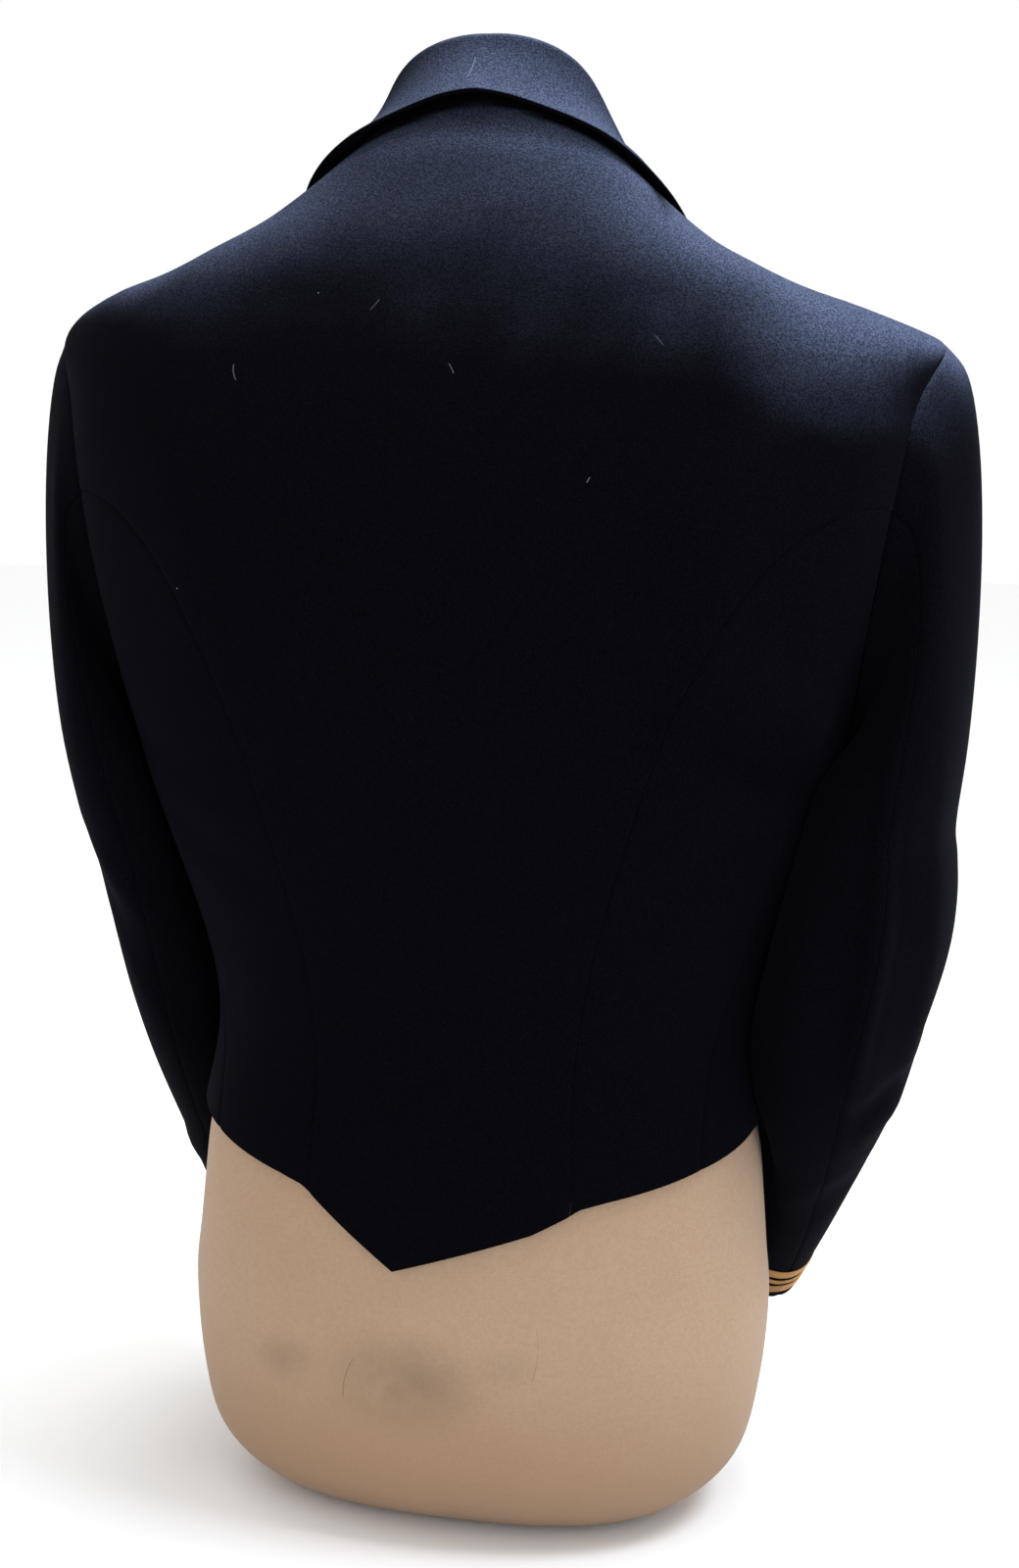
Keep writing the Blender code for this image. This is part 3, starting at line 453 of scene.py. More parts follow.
# Threads of lint on the back and the collar, given in the same way
LINT = (
    ((0.0076, 0.7654), 0.0060, -0.12, 12.0, 0.60),
    ((-0.0018, 0.6133), 0.0026, 0.60, 60.0, 0.30),
    ((0.1112, 0.6104), 0.0042, 0.25, -50.0, 0.34),
    ((-0.0717, 0.5615), 0.0014, -0.50, 0.0, 0.40),
    ((0.0400, 0.6440), 0.0028, -0.80, 40.0, 0.22),
    ((-0.1010, 0.6280), 0.0024, 0.90, 0.0, 0.22),
)

# Width of a hair or thread from its line to where it ends, and the shares of its width and of its half
# length that are at full strength
HAIR_WIDTH = 0.0004
HAIR_CORE = 1 / 3
HAIR_FULL = 0.8

# Painted shadow under the collar's fall: the attribute that marks it on the back, how far behind the
# middle plane the fall's edge counts, how far from its two ends the shadow is full, how far below the
# edge it reaches, and how softly it ends
PAINTED_SHADOW_MARK = "Painted Shadow"
SHADOW_EDGE_FROM = 0.012
SHADOW_END = 0.010
SHADOW_REACH = 0.0075
SHADOW_SOFTNESS = 0.0018


def table(rows, columns):
    """The columns of a table by name, each with a value for every row."""
    values = np.array(list(rows.values()), float)
    return {name: values[:, index] for index, name in enumerate(columns)}


BODY = table(BODY_ROWS, BODY_COLUMNS)
HEM = table(HEM_ROWS, HEM_COLUMNS)
SLEEVE = {word: table(rows, SLEEVE_COLUMNS) for word, rows in SLEEVE_ROWS.items()}
BACK_ANGLES = np.linspace(0, BACK_SEAM_JOINT, ARM_BACK_STEPS + 1)
SIDE_ANGLES = np.linspace(BACK_SEAM_JOINT, SIDE_SEAM_JOINT, ARM_SIDE_STEPS + 1)
FRONT_ANGLES = np.linspace(SIDE_SEAM_JOINT, 360, ARM_FRONT_STEPS + 1)
ARM_ANGLES = np.concatenate([BACK_ANGLES[:-1], SIDE_ANGLES[:-1], FRONT_ANGLES[:-1]])


# The body's surface

def smooth(values, place):
    """Reads a smooth curve through evenly spaced values, at a row number that may be fractional."""
    place = np.asarray(place, float)
    row = np.clip(np.floor(place).astype(int), 0, len(values) - 2)
    t = place - row
    t = t.reshape(t.shape + (1,) * (values.ndim - 1))
    padded = np.concatenate([2 * values[:1] - values[1:2], values, 2 * values[-1:] - values[-2:-1]])
    before, start, end, after = (padded[row + step] for step in range(4))
    slope_in = (end - before) / 2
    slope_out = (after - start) / 2
    return (
        (2 * t**3 - 3 * t**2 + 1) * start
        + (t**3 - 2 * t**2 + t) * slope_in
        + (3 * t**2 - 2 * t**3) * end
        + (t**3 - t**2) * slope_out
    )


def body_surface(turn, level):
    """Points of the jacket's outside at turns in degrees and levels in table rows."""
    turn = np.asarray(turn, float)
    level = np.asarray(level, float)
    row = {name: smooth(values, level) for name, values in BODY.items()}
    angle = np.radians(turn)
    fill = row["square"]
    across = (np.sin(angle) + fill * np.sin(3 * angle)) / (1 - fill)
    along = (np.cos(angle) - fill * np.cos(3 * angle)) / (1 - fill)
    rear = np.maximum(along, 0)
    fore = np.maximum(-along, 0)
    x = row["half_width"] * across
    y = row["back"] * rear - row["front"] * fore
    z = row["z_side"] + (row["z_back"] - row["z_side"]) * rear**2
    z = z + (row["z_front"] - row["z_side"]) * fore**2
    return np.stack(np.broadcast_arrays(x, y, z), axis=-1)


def unit(vectors):
    """The vectors drawn to a length of one."""
    return vectors / np.maximum(np.linalg.norm(vectors, axis=-1, keepdims=True), 1e-9)


def body_slopes(turn, level):
    """How the body's outside runs for each degree of turn and for each level."""
    by_turn = body_surface(turn + LITTLE_TURN, level) - body_surface(turn - LITTLE_TURN, level)
    by_level = body_surface(turn, level + LITTLE_LEVEL) - body_surface(turn, level - LITTLE_LEVEL)
    return by_turn / (2 * LITTLE_TURN), by_level / (2 * LITTLE_LEVEL)


def body_normal(turn, level):
    """The way out of the body's outside."""
    by_turn, by_level = body_slopes(turn, level)
    return unit(np.cross(by_level, by_turn))


def body_point(turn, level, out=0.0):
    """Points at a distance out of the body's outside."""
    turn = np.asarray(turn, float)
    level = np.asarray(level, float)
    return body_surface(turn, level) + body_normal(turn, level) * np.asarray(out)[..., None]


def level_at_height(height):
    """Level of a height on the sides below the arms, where the sections are flat."""
    levels = np.linspace(0, UNDERARM_LEVEL, FINE_LEVELS)
    return np.interp(height, smooth(BODY["z_side"], levels), levels)


def hem_level(turn):
    """Level of the hem at a turn, for either side, with the back point pulled a little to one side."""
    turn = np.asarray(turn, float)
    back_seam_turn = HEM_ROWS["back seam"][0]
    drift = POINT_DRIFT * np.maximum(1 - np.abs(turn - POINT_DRIFT) / back_seam_turn, 0)
    return level_at_height(np.interp(np.abs(turn - drift), HEM["turn"], HEM["height"]))


def leaned(points):
    """Leans and tilts points about the shoulders, which hang a little lower on the wearer's right."""
    share = np.clip((points[..., 2] - LEAN_FROM) / (LEAN_TO - LEAN_FROM), 0, 1)
    eased = share**2 * (3 - 2 * share)
    moved = points.copy()
    moved[..., 0] += LEAN * eased
    moved[..., 2] += LEAN_TILT * eased * points[..., 0] * np.clip(1 - share, 0, 1) * 2
    return moved


def mirrored(points, side):
    """Gives the points of the wearer's left side (1) or right side (-1)."""
    return points * np.array([side, 1.0, 1.0])


# The seams and edges

def bezier(points, steps):
    """Points along the curve that four points pull."""
    points = np.array(points, float)
    t = np.linspace(0, 1, steps + 1)[:, None]
    return (
        (1 - t) ** 3 * points[0]
        + 3 * t * (1 - t) ** 2 * points[1]
        + 3 * t**2 * (1 - t) * points[2]
        + t**3 * points[3]
    )


def armhole(angle):
    """Turn and level of the armhole at an angle from the shoulder: 90 is its back, 180 its bottom."""
    angle = np.radians(np.asarray(angle, float))
    reach = np.where(np.sin(angle) > 0, ARMHOLE_TURN_BACK, ARMHOLE_TURN_FRONT)
    turn = 90 - reach * np.sin(angle)
    middle = (SHOULDER_LEVEL + ARMHOLE_BOTTOM) / 2
    half = (SHOULDER_LEVEL - ARMHOLE_BOTTOM) / 2
    return np.stack([turn, middle + half * np.cos(angle)], axis=-1)


def seam(low, joint, pulls):
    """A seam from the hem, at a turn, up to the armhole, at an angle round it."""
    end = armhole(joint)
    start = (low, float(hem_level(low)))
    (low_turn, low_level), high_pull = pulls
    return bezier([start, (low + low_turn, low_level), end + np.array(high_pull), end], SEAM_STEPS)


def back_seam():
    """The curved back seam, from the hem to the armhole."""
    return seam(HEM_ROWS["back seam"][0], BACK_SEAM_JOINT, BACK_SEAM_PULLS)


def side_seam():
    """The side seam, from the hem to the bottom of the armhole."""
    return seam(HEM_ROWS["side seam"][0], SIDE_SEAM_JOINT, SIDE_SEAM_PULLS)


def shoulder_seam():
    """The shoulder seam, from the armhole to the neck."""
    levels = np.linspace(SHOULDER_LEVEL, NECK_LEVEL, SHOULDER_STEPS + 1)
    return np.stack([np.full_like(levels, 90.0), levels], axis=-1)


def hem_between(start, end, steps):
    """The hem from one turn to another."""
    turns = np.linspace(start, end, steps + 1)
    return np.stack([turns, hem_level(turns)], axis=-1)


def roll_place(share):
    """Turn and level of the lapel's fold from the break (0) to the neck (1), straight in front view."""
    share = np.asarray(share, float)
    climb = np.sin(np.radians(90 * share))
    level = BREAK_LEVEL + (NECK_LEVEL - BREAK_LEVEL) * climb
    low = float(smooth(BODY["half_width"], BREAK_LEVEL)) * math.sin(math.radians(BREAK_TURN))
    high = BODY["half_width"][-1]
    width = low + (high - low) * climb
    turn = 180 - np.degrees(np.arcsin(np.clip(width / smooth(BODY["half_width"], level), 0, 1)))
    return np.stack([turn, level], axis=-1)


def front_edge():
    """The front's edge, from the hem up to where the lapel starts to turn."""
    low = HEM_ROWS["front point"][0]
    start = np.array([low, float(hem_level(low))])
    end = np.array([BREAK_TURN, BREAK_LEVEL])
    t = np.linspace(0, 1, SEAM_STEPS + 1)[:, None]
    return start + (end - start) * t


def joined(*runs):
    """Joins runs of points that each start where the one before ended."""
    return np.concatenate([runs[0]] + [run[1:] for run in runs[1:]])


def patch(bottom, top, left, right):
    """Fills the space between four rows of points with a grid that meets all four."""
    across = np.linspace(0, 1, len(bottom))[None, :, None]
    up = np.linspace(0, 1, len(left))[:, None, None]
    sides = (1 - across) * left[:, None] + across * right[:, None]
    ends = (1 - up) * bottom[None] + up * top[None]
    corners = (1 - up) * ((1 - across) * bottom[0] + across * bottom[-1])
    corners = corners + up * ((1 - across) * top[0] + across * top[-1])
    return sides + ends - corners


# Fields of turn and level for each panel, as in the solids

def back_field():
    """The back, whole, from back seam to back seam and from the hem to the neck and shoulders."""
    right_edge = joined(back_seam(), armhole(BACK_ANGLES[::-1]))
    left_edge = right_edge * np.array([-1.0, 1.0])
    neck = np.stack([np.linspace(90, -90, 2 * NECK_STEPS + 1), np.full(2 * NECK_STEPS + 1, NECK_LEVEL)], -1)
    shoulder = shoulder_seam()
    top = joined(shoulder, neck, shoulder[::-1] * np.array([-1.0, 1.0]))[::-1]
    low = HEM_ROWS["back seam"][0]
    return patch(hem_between(-low, low, len(top) - 1), top, left_edge, right_edge)


def side_body_field():
    """The left side body, from the back seam to the side seam."""
    left_edge = back_seam()
    right_edge = side_seam()
    bottom = hem_between(left_edge[0, 0], right_edge[0, 0], ARM_SIDE_STEPS)
    return patch(bottom, armhole(SIDE_ANGLES), left_edge, right_edge)


def front_field():
    """The left front, from the side seam and armhole to the front's edge and the lapel's fold."""
    left_edge = joined(side_seam(), armhole(FRONT_ANGLES))
    right_edge = joined(front_edge(), roll_place(np.linspace(0, 1, ARM_FRONT_STEPS + 1)))
    bottom = hem_between(left_edge[0, 0], right_edge[0, 0], SHOULDER_STEPS)
    return patch(bottom, shoulder_seam(), left_edge, right_edge)


# Collar and lapels

def fold_path(reach):
    """Turn and level of the line that the collar and lapel turn over, at places along it."""
    reach = np.asarray(reach, float)
    round_neck = np.stack([90 * np.minimum(reach, 1), np.full_like(reach, NECK_LEVEL)], -1)
    front = roll_place(np.interp(reach, (1.0, 2.0, 3.0), (1.0, GORGE_SHARE, 0.0)))
    return np.where(reach[..., None] <= 1, round_neck, front)


def walked(place, heading, distance):
    """Walks over the body from places, each with its heading, and gives the places reached."""
    place = place.copy()
    for _ in range(WALK_STEPS):
        turn, level = place[:, 0], place[:, 1]
        by_turn, by_level = body_slopes(turn, level)
        step = heading * (distance / WALK_STEPS)[:, None]
        a = (by_turn * by_turn).sum(-1)
        b = (by_turn * by_level).sum(-1)
        c = (by_level * by_level).sum(-1)
        p = (by_turn * step).sum(-1)
        q = (by_level * step).sum(-1)
        place[:, 0] += (c * p - b * q) / (a * c - b * b)
        place[:, 1] += (a * q - b * p) / (a * c - b * b)
    return place


def turned_leaf(rows, first, last, reach):
    """Outside of a leaf that stands up from the fold path and turns over onto the body."""
    row = (reach - first) / (last - first) * (len(rows) - 1)
    size = {name: smooth(values, row)[:, None] for name, values in table(rows, COLLAR_COLUMNS).items()}
    place = fold_path(reach)
    base = body_surface(place[:, 0], place[:, 1])
    normal = body_normal(place[:, 0], place[:, 1])
    before, after = fold_path(reach - LITTLE_LEVEL), fold_path(reach + LITTLE_LEVEL)
    along = unit(body_surface(after[:, 0], after[:, 1]) - body_surface(before[:, 0], before[:, 1]))
    away = unit(np.cross(normal, along))
    rise = np.radians(size["rise"])
    heading = away * np.cos(rise) - along * np.sin(rise)
    up = unit(size["upright"] * np.array([0.0, 0.0, 1.0]) - away * (1 - size["upright"]))
    side = unit(normal - up * (normal * up).sum(-1, keepdims=True))
    out = 2 * ROLL_RADIUS - CLOTH
    fold = size["stand"] - ROLL_RADIUS
    foot = base + up * LEAF_FOOT - side * CLOTH
    top_of_stand = base + up * fold - side * CLOTH
    points = [foot + (top_of_stand - foot) * share for share in STAND_SHARES]
    for bend in ROLL_BENDS:
        top = math.radians(bend)
        over = fold + ROLL_RADIUS * math.cos(top)
        points.append(base + up * over + side * (ROLL_RADIUS - CLOTH + ROLL_RADIUS * math.sin(top)))
    corner = base + side * out
    bend = np.minimum(fold, size["cover"]) * FALL_BEND

    def straight(distance):
        """Down the stand's outside and then out over the body, with a sharp corner between."""
        over = np.clip((distance - fold) / size["cover"], 0, 1)
        there = walked(place, heading, (size["cover"] * over)[:, 0])
        high = out + (size["lift"] - out) * over
        spot = body_surface(there[:, 0], there[:, 1]) + body_normal(there[:, 0], there[:, 1]) * high
        upright = base + up * np.maximum(fold - distance, 0) + side * out
        return np.where(distance < fold, upright, spot)

    before_bend, after_bend = straight(fold - bend), straight(fold + bend)
    for share in np.linspace(0, 1, FALL_STEPS + 1)[1:]:
        distance = (fold + size["cover"]) * share
        t = np.clip((distance - fold + bend) / (2 * bend), 0, 1)
        rounded = (1 - t) ** 2 * before_bend + 2 * t * (1 - t) * corner + t**2 * after_bend
        points.append(np.where(np.abs(distance - fold) < bend, rounded, straight(distance)))
    return np.stack(points, axis=0)


def collar_grid():
    """The collar's outside, from one gorge round the neck to the other."""
    round_neck = np.linspace(0, 1, NECK_STEPS + 1)
    down_front = np.linspace(1, 2, ARM_FRONT_STEPS - GORGE_STEP + 1)
    down_front[-1] -= GORGE_GAP
    half = turned_leaf(COLLAR_ROWS, 0, 2, np.concatenate([round_neck, down_front[1:]]))
    return np.concatenate([mirrored(half, -1)[:, :0:-1], half], axis=1)


def lapel_grid():
    """The left lapel's outside, from the gorge down to where it starts to turn."""
    reach = np.linspace(2, 3, GORGE_STEP + 1)
    reach[0] += GORGE_GAP
    return turned_leaf(LAPEL_ROWS, 2, 3, reach)


# Sleeves

def sleeve_ring(place, angles, word):
    """Section of the sleeve at a fractional table row, at angles round it, and the way down it."""
    sizes = SLEEVE[word]
    row = {name: float(smooth(values, place)) for name, values in sizes.items()}
    before, after = place - LITTLE_PLACE, place + LITTLE_PLACE
    ahead = [smooth(sizes[name], after) - smooth(sizes[name], before) for name in "xyz"]
    down = Vector([float(step) for step in ahead]).normalized()
    outward = math.radians(row["turn"])
    back = Vector((math.sin(outward), math.cos(outward), 0.0))
    back = (back - down * back.dot(down)).normalized()
    out = back.cross(-down)
    angles = np.radians(angles)[:, None]
    across = np.cos(angles) * row["across"] * np.array(out)
    along = np.sin(angles) * row["along"] * np.array(back)
    centre = np.array([row[name] for name in "xyz"])
    return centre + across + along, np.array(down)


def body_width(y, z):
    """Distance of the body's outside from the middle plane at a depth and a height."""
    levels = np.linspace(0, NECK_LEVEL, FINE_LEVELS)
    level = np.interp(z, smooth(BODY["z_side"], levels), levels)
    ring = body_surface(np.linspace(180, 0, FINE_TURNS), level)
    return np.interp(y, ring[:, 1], ring[:, 0], left=0.0, right=0.0)


def off_body(points, share=1.0):
    """Presses points that would lie in the body, or too near it, softly out sideways."""
    softness = PRESS_SOFTNESS * share
    pressed = points.copy()
    for point in pressed:
        least = body_width(point[1], point[2]) + ARM_CLEARANCE
        past = point[0] - least
        point[0] = least + (past + math.hypot(past, softness)) / 2
    return pressed


def armhole_rim():
    """Points of the armhole, the body's way out at each, and how low each lies from 0 (top) to 1."""
    edge = armhole(ARM_ANGLES)
    low = 0.5 - 0.5 * np.cos(np.radians(ARM_ANGLES))[:, None]
    return body_surface(edge[:, 0], edge[:, 1]), body_normal(edge[:, 0], edge[:, 1]), low


def sleeve_grid(word):
    """Outside of the sleeve as a grid: rows run from the armhole down to the cuff."""
    start, normal, low = armhole_rim()
    along = np.roll(start, -1, axis=0) - np.roll(start, 1, axis=0)
    away = unit(np.cross(along, normal))
    leave = unit(away * (1 - low) + np.array(ARM_AXIS) * low)
    ring, down = sleeve_ring(0.0, ARM_ANGLES, word)
    span = np.linalg.norm(ring - start, axis=1, keepdims=True)
    least, share = CAP_FULLNESS
    first = start + leave * (least + share * span) + normal * CAP_RISE * (1 - low)
    second = ring - down * span * CAP_DROP
    rows = [start]
    for t in np.linspace(0, 1, CAP_STEPS + 1)[1:]:
        row = (1 - t) ** 3 * start + 3 * t * (1 - t) ** 2 * first + 3 * t**2 * (1 - t) * second + t**3 * ring
        rows.append(off_body(row, t))
    last = len(SLEEVE_ROWS[word]) - 1
    for place in np.linspace(0, last, last * ARM_STEPS_PER_ROW + 1)[1:]:
        rows.append(off_body(sleeve_ring(place, ARM_ANGLES, word)[0]))
    return np.array(rows)


def sleeve_split():
    """Samples at which the sleeve's back seam and front seam run."""
    return ARM_BACK_STEPS, ARM_BACK_STEPS + ARM_SIDE_STEPS + ARM_FRONT_STEPS // 2


# Finer grids and cloth made from them

def near_places(count):
    """Places along a grid's steps, with some more of them beside both ends."""
    places = np.arange(count, dtype=float)
    last = places[-1] - NEAR_STEPS[::-1]
    return np.concatenate([places[:1], NEAR_STEPS, places[1:-1], last, places[-1:]])


def refined(grid, rows, columns):
    """Reads a smooth surface through a grid of points at fractional rows and columns."""
    tall = smooth(grid, rows)
    return smooth(tall.swapaxes(0, 1), columns).swapaxes(0, 1)


def grid_normals(grid, wrap=False):
    """The way out at each point of a grid whose rows run up and whose columns run to the right."""
    if wrap:
        across = np.roll(grid, -1, axis=1) - np.roll(grid, 1, axis=1)
    else:
        across = np.gradient(grid, axis=1)
    return unit(np.cross(across, np.gradient(grid, axis=0)))


def run_length(grid, axis):
    """Distance along a grid from its first row or column to each point."""
    steps = np.linalg.norm(np.diff(grid, axis=axis), axis=-1)
    total = np.cumsum(steps, axis=axis)
    return np.concatenate([np.zeros_like(np.take(total, [0], axis=axis)), total], axis=axis)


def hump(distance, half_width):
    """A soft bell: one on the line, nought two half-widths away."""
    share = np.clip(distance / (2 * half_width), 0, 1)
    return (1 - share**2) ** 2


def crease_offset(points, lines):
    """How far out creases move points. Each is a line through points, its half-width and its depth."""
    moved = np.zeros(points.shape[:-1])
    for line, half_width, depth in lines:
        path = smooth(line, np.linspace(0, len(line) - 1, (len(line) - 1) * CREASE_STEPS + 1))
        nearest = np.full(points.shape[:-1], np.inf)
        along = np.zeros(points.shape[:-1])
        for index, (start, end) in enumerate(zip(path[:-1], path[1:])):
            way = end - start
            share = np.clip(((points - start) @ way) / (way @ way), 0, 1)
            distance = np.linalg.norm(points - start - share[..., None] * way, axis=-1)
            closer = distance < nearest
            nearest = np.where(closer, distance, nearest)
            along = np.where(closer, (index + share) / (len(path) - 1), along)
        swell = np.sin(np.pi * np.clip(along, CREASE_END, 1 - CREASE_END)) ** CREASE_SWELL
        width = half_width * (CREASE_NARROW + (1 - CREASE_NARROW) * swell)
        moved += depth * swell * hump(nearest, width)
    return moved


def edge_distances(points):
    """Distance of each point of a grid from its four edges, along the grid."""
    return {
        "left": run_length(points, 1),
        "right": run_length(points[:, ::-1], 1)[:, ::-1],
        "bottom": run_length(points, 0),
        "top": run_length(points[::-1], 0)[::-1],
    }


def seam_dip(points, seams):
    """How far the cloth dips towards each of its seams."""
    depth = np.zeros(points.shape[:-1])
    distances = edge_distances(points)
    deepest = settings().seam_dip
    for edge in seams:
        depth = np.maximum(depth, deepest * np.exp(-(distances[edge] / SEAM_REACH) ** 2))
    return depth


def new_object(name, points, faces, places, corners, look):
    """Makes a mesh object with a UV map in metres, from its UV points and which of them each corner uses."""
    mesh = bpy.data.meshes.new(name)
    mesh.from_pydata(points, [], faces.tolist())
    layer = mesh.uv_layers.new(name=WEAVE_MAP)
    layer.data.foreach_set("uv", places[corners.ravel()].astype(np.float32).ravel())
    mesh.shade_smooth()
    mesh.materials.append(look)
    item = bpy.data.objects.new(name, mesh)
    bpy.context.scene.collection.objects.link(item)
    return item


def cloth_object(name, outer, normals, look, seams=(), flip=False):
    """Makes a thin cloth shell with rounded rims from a grid of outside points and the way out at each."""
    rows, columns = outer.shape[:2]
    outer = outer.copy()
    outward = np.zeros_like(outer)
    edges = {
        "left": (np.s_[:, 0], outer[:, 0] - outer[:, 1]),
        "right": (np.s_[:, -1], outer[:, -1] - outer[:, -2]),
        "bottom": (np.s_[0], outer[0] - outer[1]),
        "top": (np.s_[-1], outer[-1] - outer[-2]),
    }
    for edge, (where, away) in edges.items():
        outward[where] += unit(away) * (SEAM_BULGE if edge in seams else EDGE_BULGE)
        if edge in seams:
            outer[where] -= unit(away) * SEAM_TRIM
    inner = outer - normals * CLOTH
    count = rows * columns
    grid = np.arange(count).reshape(rows, columns)
    rim = np.concatenate([grid[0], grid[1:, -1], grid[-1, -2::-1], grid[-2:0:-1, 0]])
    half = normals.reshape(-1, 3)[rim] * CLOTH / 2
    middle = outer.reshape(-1, 3)[rim] - half
    layers = [outer.reshape(-1, 3), inner.reshape(-1, 3)]
    rings = [rim]
    for number, degrees in enumerate(RIM_ANGLES):
        angle = math.radians(degrees)
        layers.append(middle + half * math.cos(angle) + outward.reshape(-1, 3)[rim] * math.sin(angle))
        rings.append(2 * count + number * len(rim) + np.arange(len(rim)))
    rings.append(rim + count)
    a, b = grid[:-1, :-1].ravel(), grid[:-1, 1:].ravel()
    c, d = grid[1:, 1:].ravel(), grid[1:, :-1].ravel()
    faces = [np.stack([a, b, c, d], -1), np.stack([d, c, b, a], -1) + count]
    for high, low in zip(rings[:-1], rings[1:]):
        faces.append(np.stack([np.roll(high, -1), high, low, np.roll(low, -1)], -1))
    faces = np.concatenate(faces)
    if flip:
        faces = faces[:, ::-1]
    spread = np.stack([run_length(outer, 1).ravel(), run_length(outer, 0).ravel()], -1)
    places = np.concatenate([spread, spread] + [spread[rim]] * len(RIM_ANGLES))
    return new_object(name, leaned(np.concatenate(layers)), faces, places, faces, look)


def ring_faces(rows, columns, closed_rows=False):
    """Faces of a grid whose columns run right round, with the UV corners of a grid one column wider."""
    spans = rows if closed_rows else rows - 1
    i, j = np.meshgrid(np.arange(spans), np.arange(columns), indexing="ij")
    i, j = i.ravel(), j.ravel()
    up, right = (i + 1) % rows, (j + 1) % columns
    faces = np.stack([i * columns + j, i * columns + right, up * columns + right, up * columns + j], -1)
    wide = columns + 1
    corners = np.stack([i * wide + j, i * wide + j + 1, (i + 1) * wide + j + 1, (i + 1) * wide + j], -1)
    return faces, corners


def round_places(points, closed_rows=False):
    """UV points in metres of a grid whose columns run right round."""
    wide = np.concatenate([points, points[:, :1]], axis=1)
    if closed_rows:
        wide = np.concatenate([wide, wide[:1]], axis=0)
    return np.stack([run_length(wide, 1), run_length(wide, 0)], -1).reshape(-1, 2)


def declare(item, node):
    """Makes a piece ride and stand for its node."""
    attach(item, ROOT)
    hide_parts(node)


def declare_sheet(item, node):
    """Declares a piece of wool as any other piece."""
    declare(item, node)


def settings():
    """The scene's own settings of the jacket's sizes and colours."""
    return bpy.context.scene.jacket_cloth


def body_lines():
    """The body's creases as lines of points."""
    lines = []
    for places, half_width, depth in BODY_CREASES.values():
        turns, levels = np.array(places, float).T
        line = body_surface(np.abs(turns), levels)
        line[:, 0] *= np.where(turns < 0, -1, 1)
        lines.append((line, half_width, depth * settings().crease_depth))
    return lines


def make_panel(name, field, seams, side, look):
    """A body panel: its field read finer, creased, with dips along its seams."""
    fine = refined(field, near_places(field.shape[0]), near_places(field.shape[1]))
    outer = mirrored(body_surface(fine[..., 0], fine[..., 1]), side)
    normals = mirrored(body_normal(fine[..., 0], fine[..., 1]), side)
    move = crease_offset(outer, body_lines()) - seam_dip(outer, seams)
    return cloth_object(name, outer + normals * move[..., None], normals, look, seams, side > 0)


def paint_fall_shadow(item):
    """Marks the back under the collar's fall for painted shadow, where no painted light is laid on the nap.
    """
    edge = leaned(collar_grid()[-1])
    edge = edge[edge[:, 1] > SHADOW_EDGE_FROM]
    edge = edge[np.argsort(edge[:, 0])]
    slope = np.gradient(edge[:, 2], edge[:, 0])
    points = np.empty(len(item.data.vertices) * 3)
    item.data.vertices.foreach_get("co", points)
    x, _, z = points.reshape(-1, 3).T
    below = (np.interp(x, edge[:, 0], edge[:, 2]) - z) / np.hypot(1, np.interp(x, edge[:, 0], slope))
    share = np.clip((SHADOW_REACH - below) / SHADOW_SOFTNESS, 0, 1)
    inside = np.minimum(x - edge[0, 0], edge[-1, 0] - x)
    share *= np.clip(inside / SHADOW_END, 0, 1)
    # Strength of the painted shadow under the fall, kept on each point
    mark = item.data.attributes.new(PAINTED_SHADOW_MARK, "FLOAT", "POINT")
    mark.data.foreach_set("value", share.astype(np.float32))


def make_back(look):
    """The back, whole, marked for the painted shadow under the collar's fall."""
    item = make_panel("back_cloth", back_field(), ("left", "right", "top"), 1, look)
    paint_fall_shadow(item)
    declare_sheet(item, "back")


def make_side_body(word, look):
    """The panel between the back seam and the side seam."""
    item = make_panel(
        f"side_body_cloth_{word}", side_body_field(), ("left", "right", "top"), SIDES[word], look
    )
    declare_sheet(item, f"side_body_{word}")


def make_front(word, look):
    """One front, with its free edge and its hem."""
    item = make_panel(f"front_cloth_{word}", front_field(), ("left", "top"), SIDES[word], look)
    declare_sheet(item, f"front_{word}")


def make_leaf(name, grid, side, look):
    """A turned leaf of the collar or a lapel, with a gentle wave along its free edge."""
    rows, columns = grid.shape[:2]
    grid = grid.copy()
    normals = grid_normals(grid)
    outer_leaf = np.linspace(0, 1, rows)[:, None] ** 3
    along = np.linspace(0, 1, columns)[None, :]
    wave = sum(size * np.sin(2 * np.pi * (turns * along + phase)) for turns, phase, size in LEAF_WAVES)
    grid += normals * (wave * outer_leaf)[..., None]
    grid = refined(grid, near_places(rows), near_places(columns))
    normals = grid_normals(grid)
    return cloth_object(name, mirrored(grid, side), mirrored(normals, side), look, (), side < 0)


def make_collar(look):
    """The collar, stand and fall in one."""
    item = make_leaf("collar_cloth", collar_grid(), 1, look)
    declare_sheet(item, "collar")


def make_lapel(word, look):
    """One lapel, turned back on its front."""
    item = make_leaf(f"lapel_cloth_{word}", lapel_grid(), SIDES[word], look)
    declare_sheet(item, f"lapel_{word}")


def sleeve_lines(grid, word):
    """The sleeve's creases as lines of points, read from its grid, whose rows run down it."""
    lines = []
    angles = np.concatenate([ARM_ANGLES, [360.0]])
    wide = np.concatenate([grid, grid[:, :1]], axis=1)
    for places, half_width, depth in SLEEVE_CREASES[word].values():
        line = []
        for angle, place in places:
            row = smooth(wide, CAP_STEPS + place * ARM_STEPS_PER_ROW)
            line.append([np.interp(angle % 360, angles, row[:, axis]) for axis in range(3)])
        lines.append((np.array(line), half_width, depth * settings().crease_depth))
    return lines


def kept_off_body(before, after):
    """Keeps creased points of a sleeve out of the body, unless they lay nearer to it before."""
    for row, column in zip(*np.nonzero(after[..., 0] < before[..., 0])):
        x, y, z = after[row, column]
        least = min(before[row, column, 0], body_width(y, z) + HUG_CLEARANCE)
        after[row, column, 0] = max(x, least)
    return after


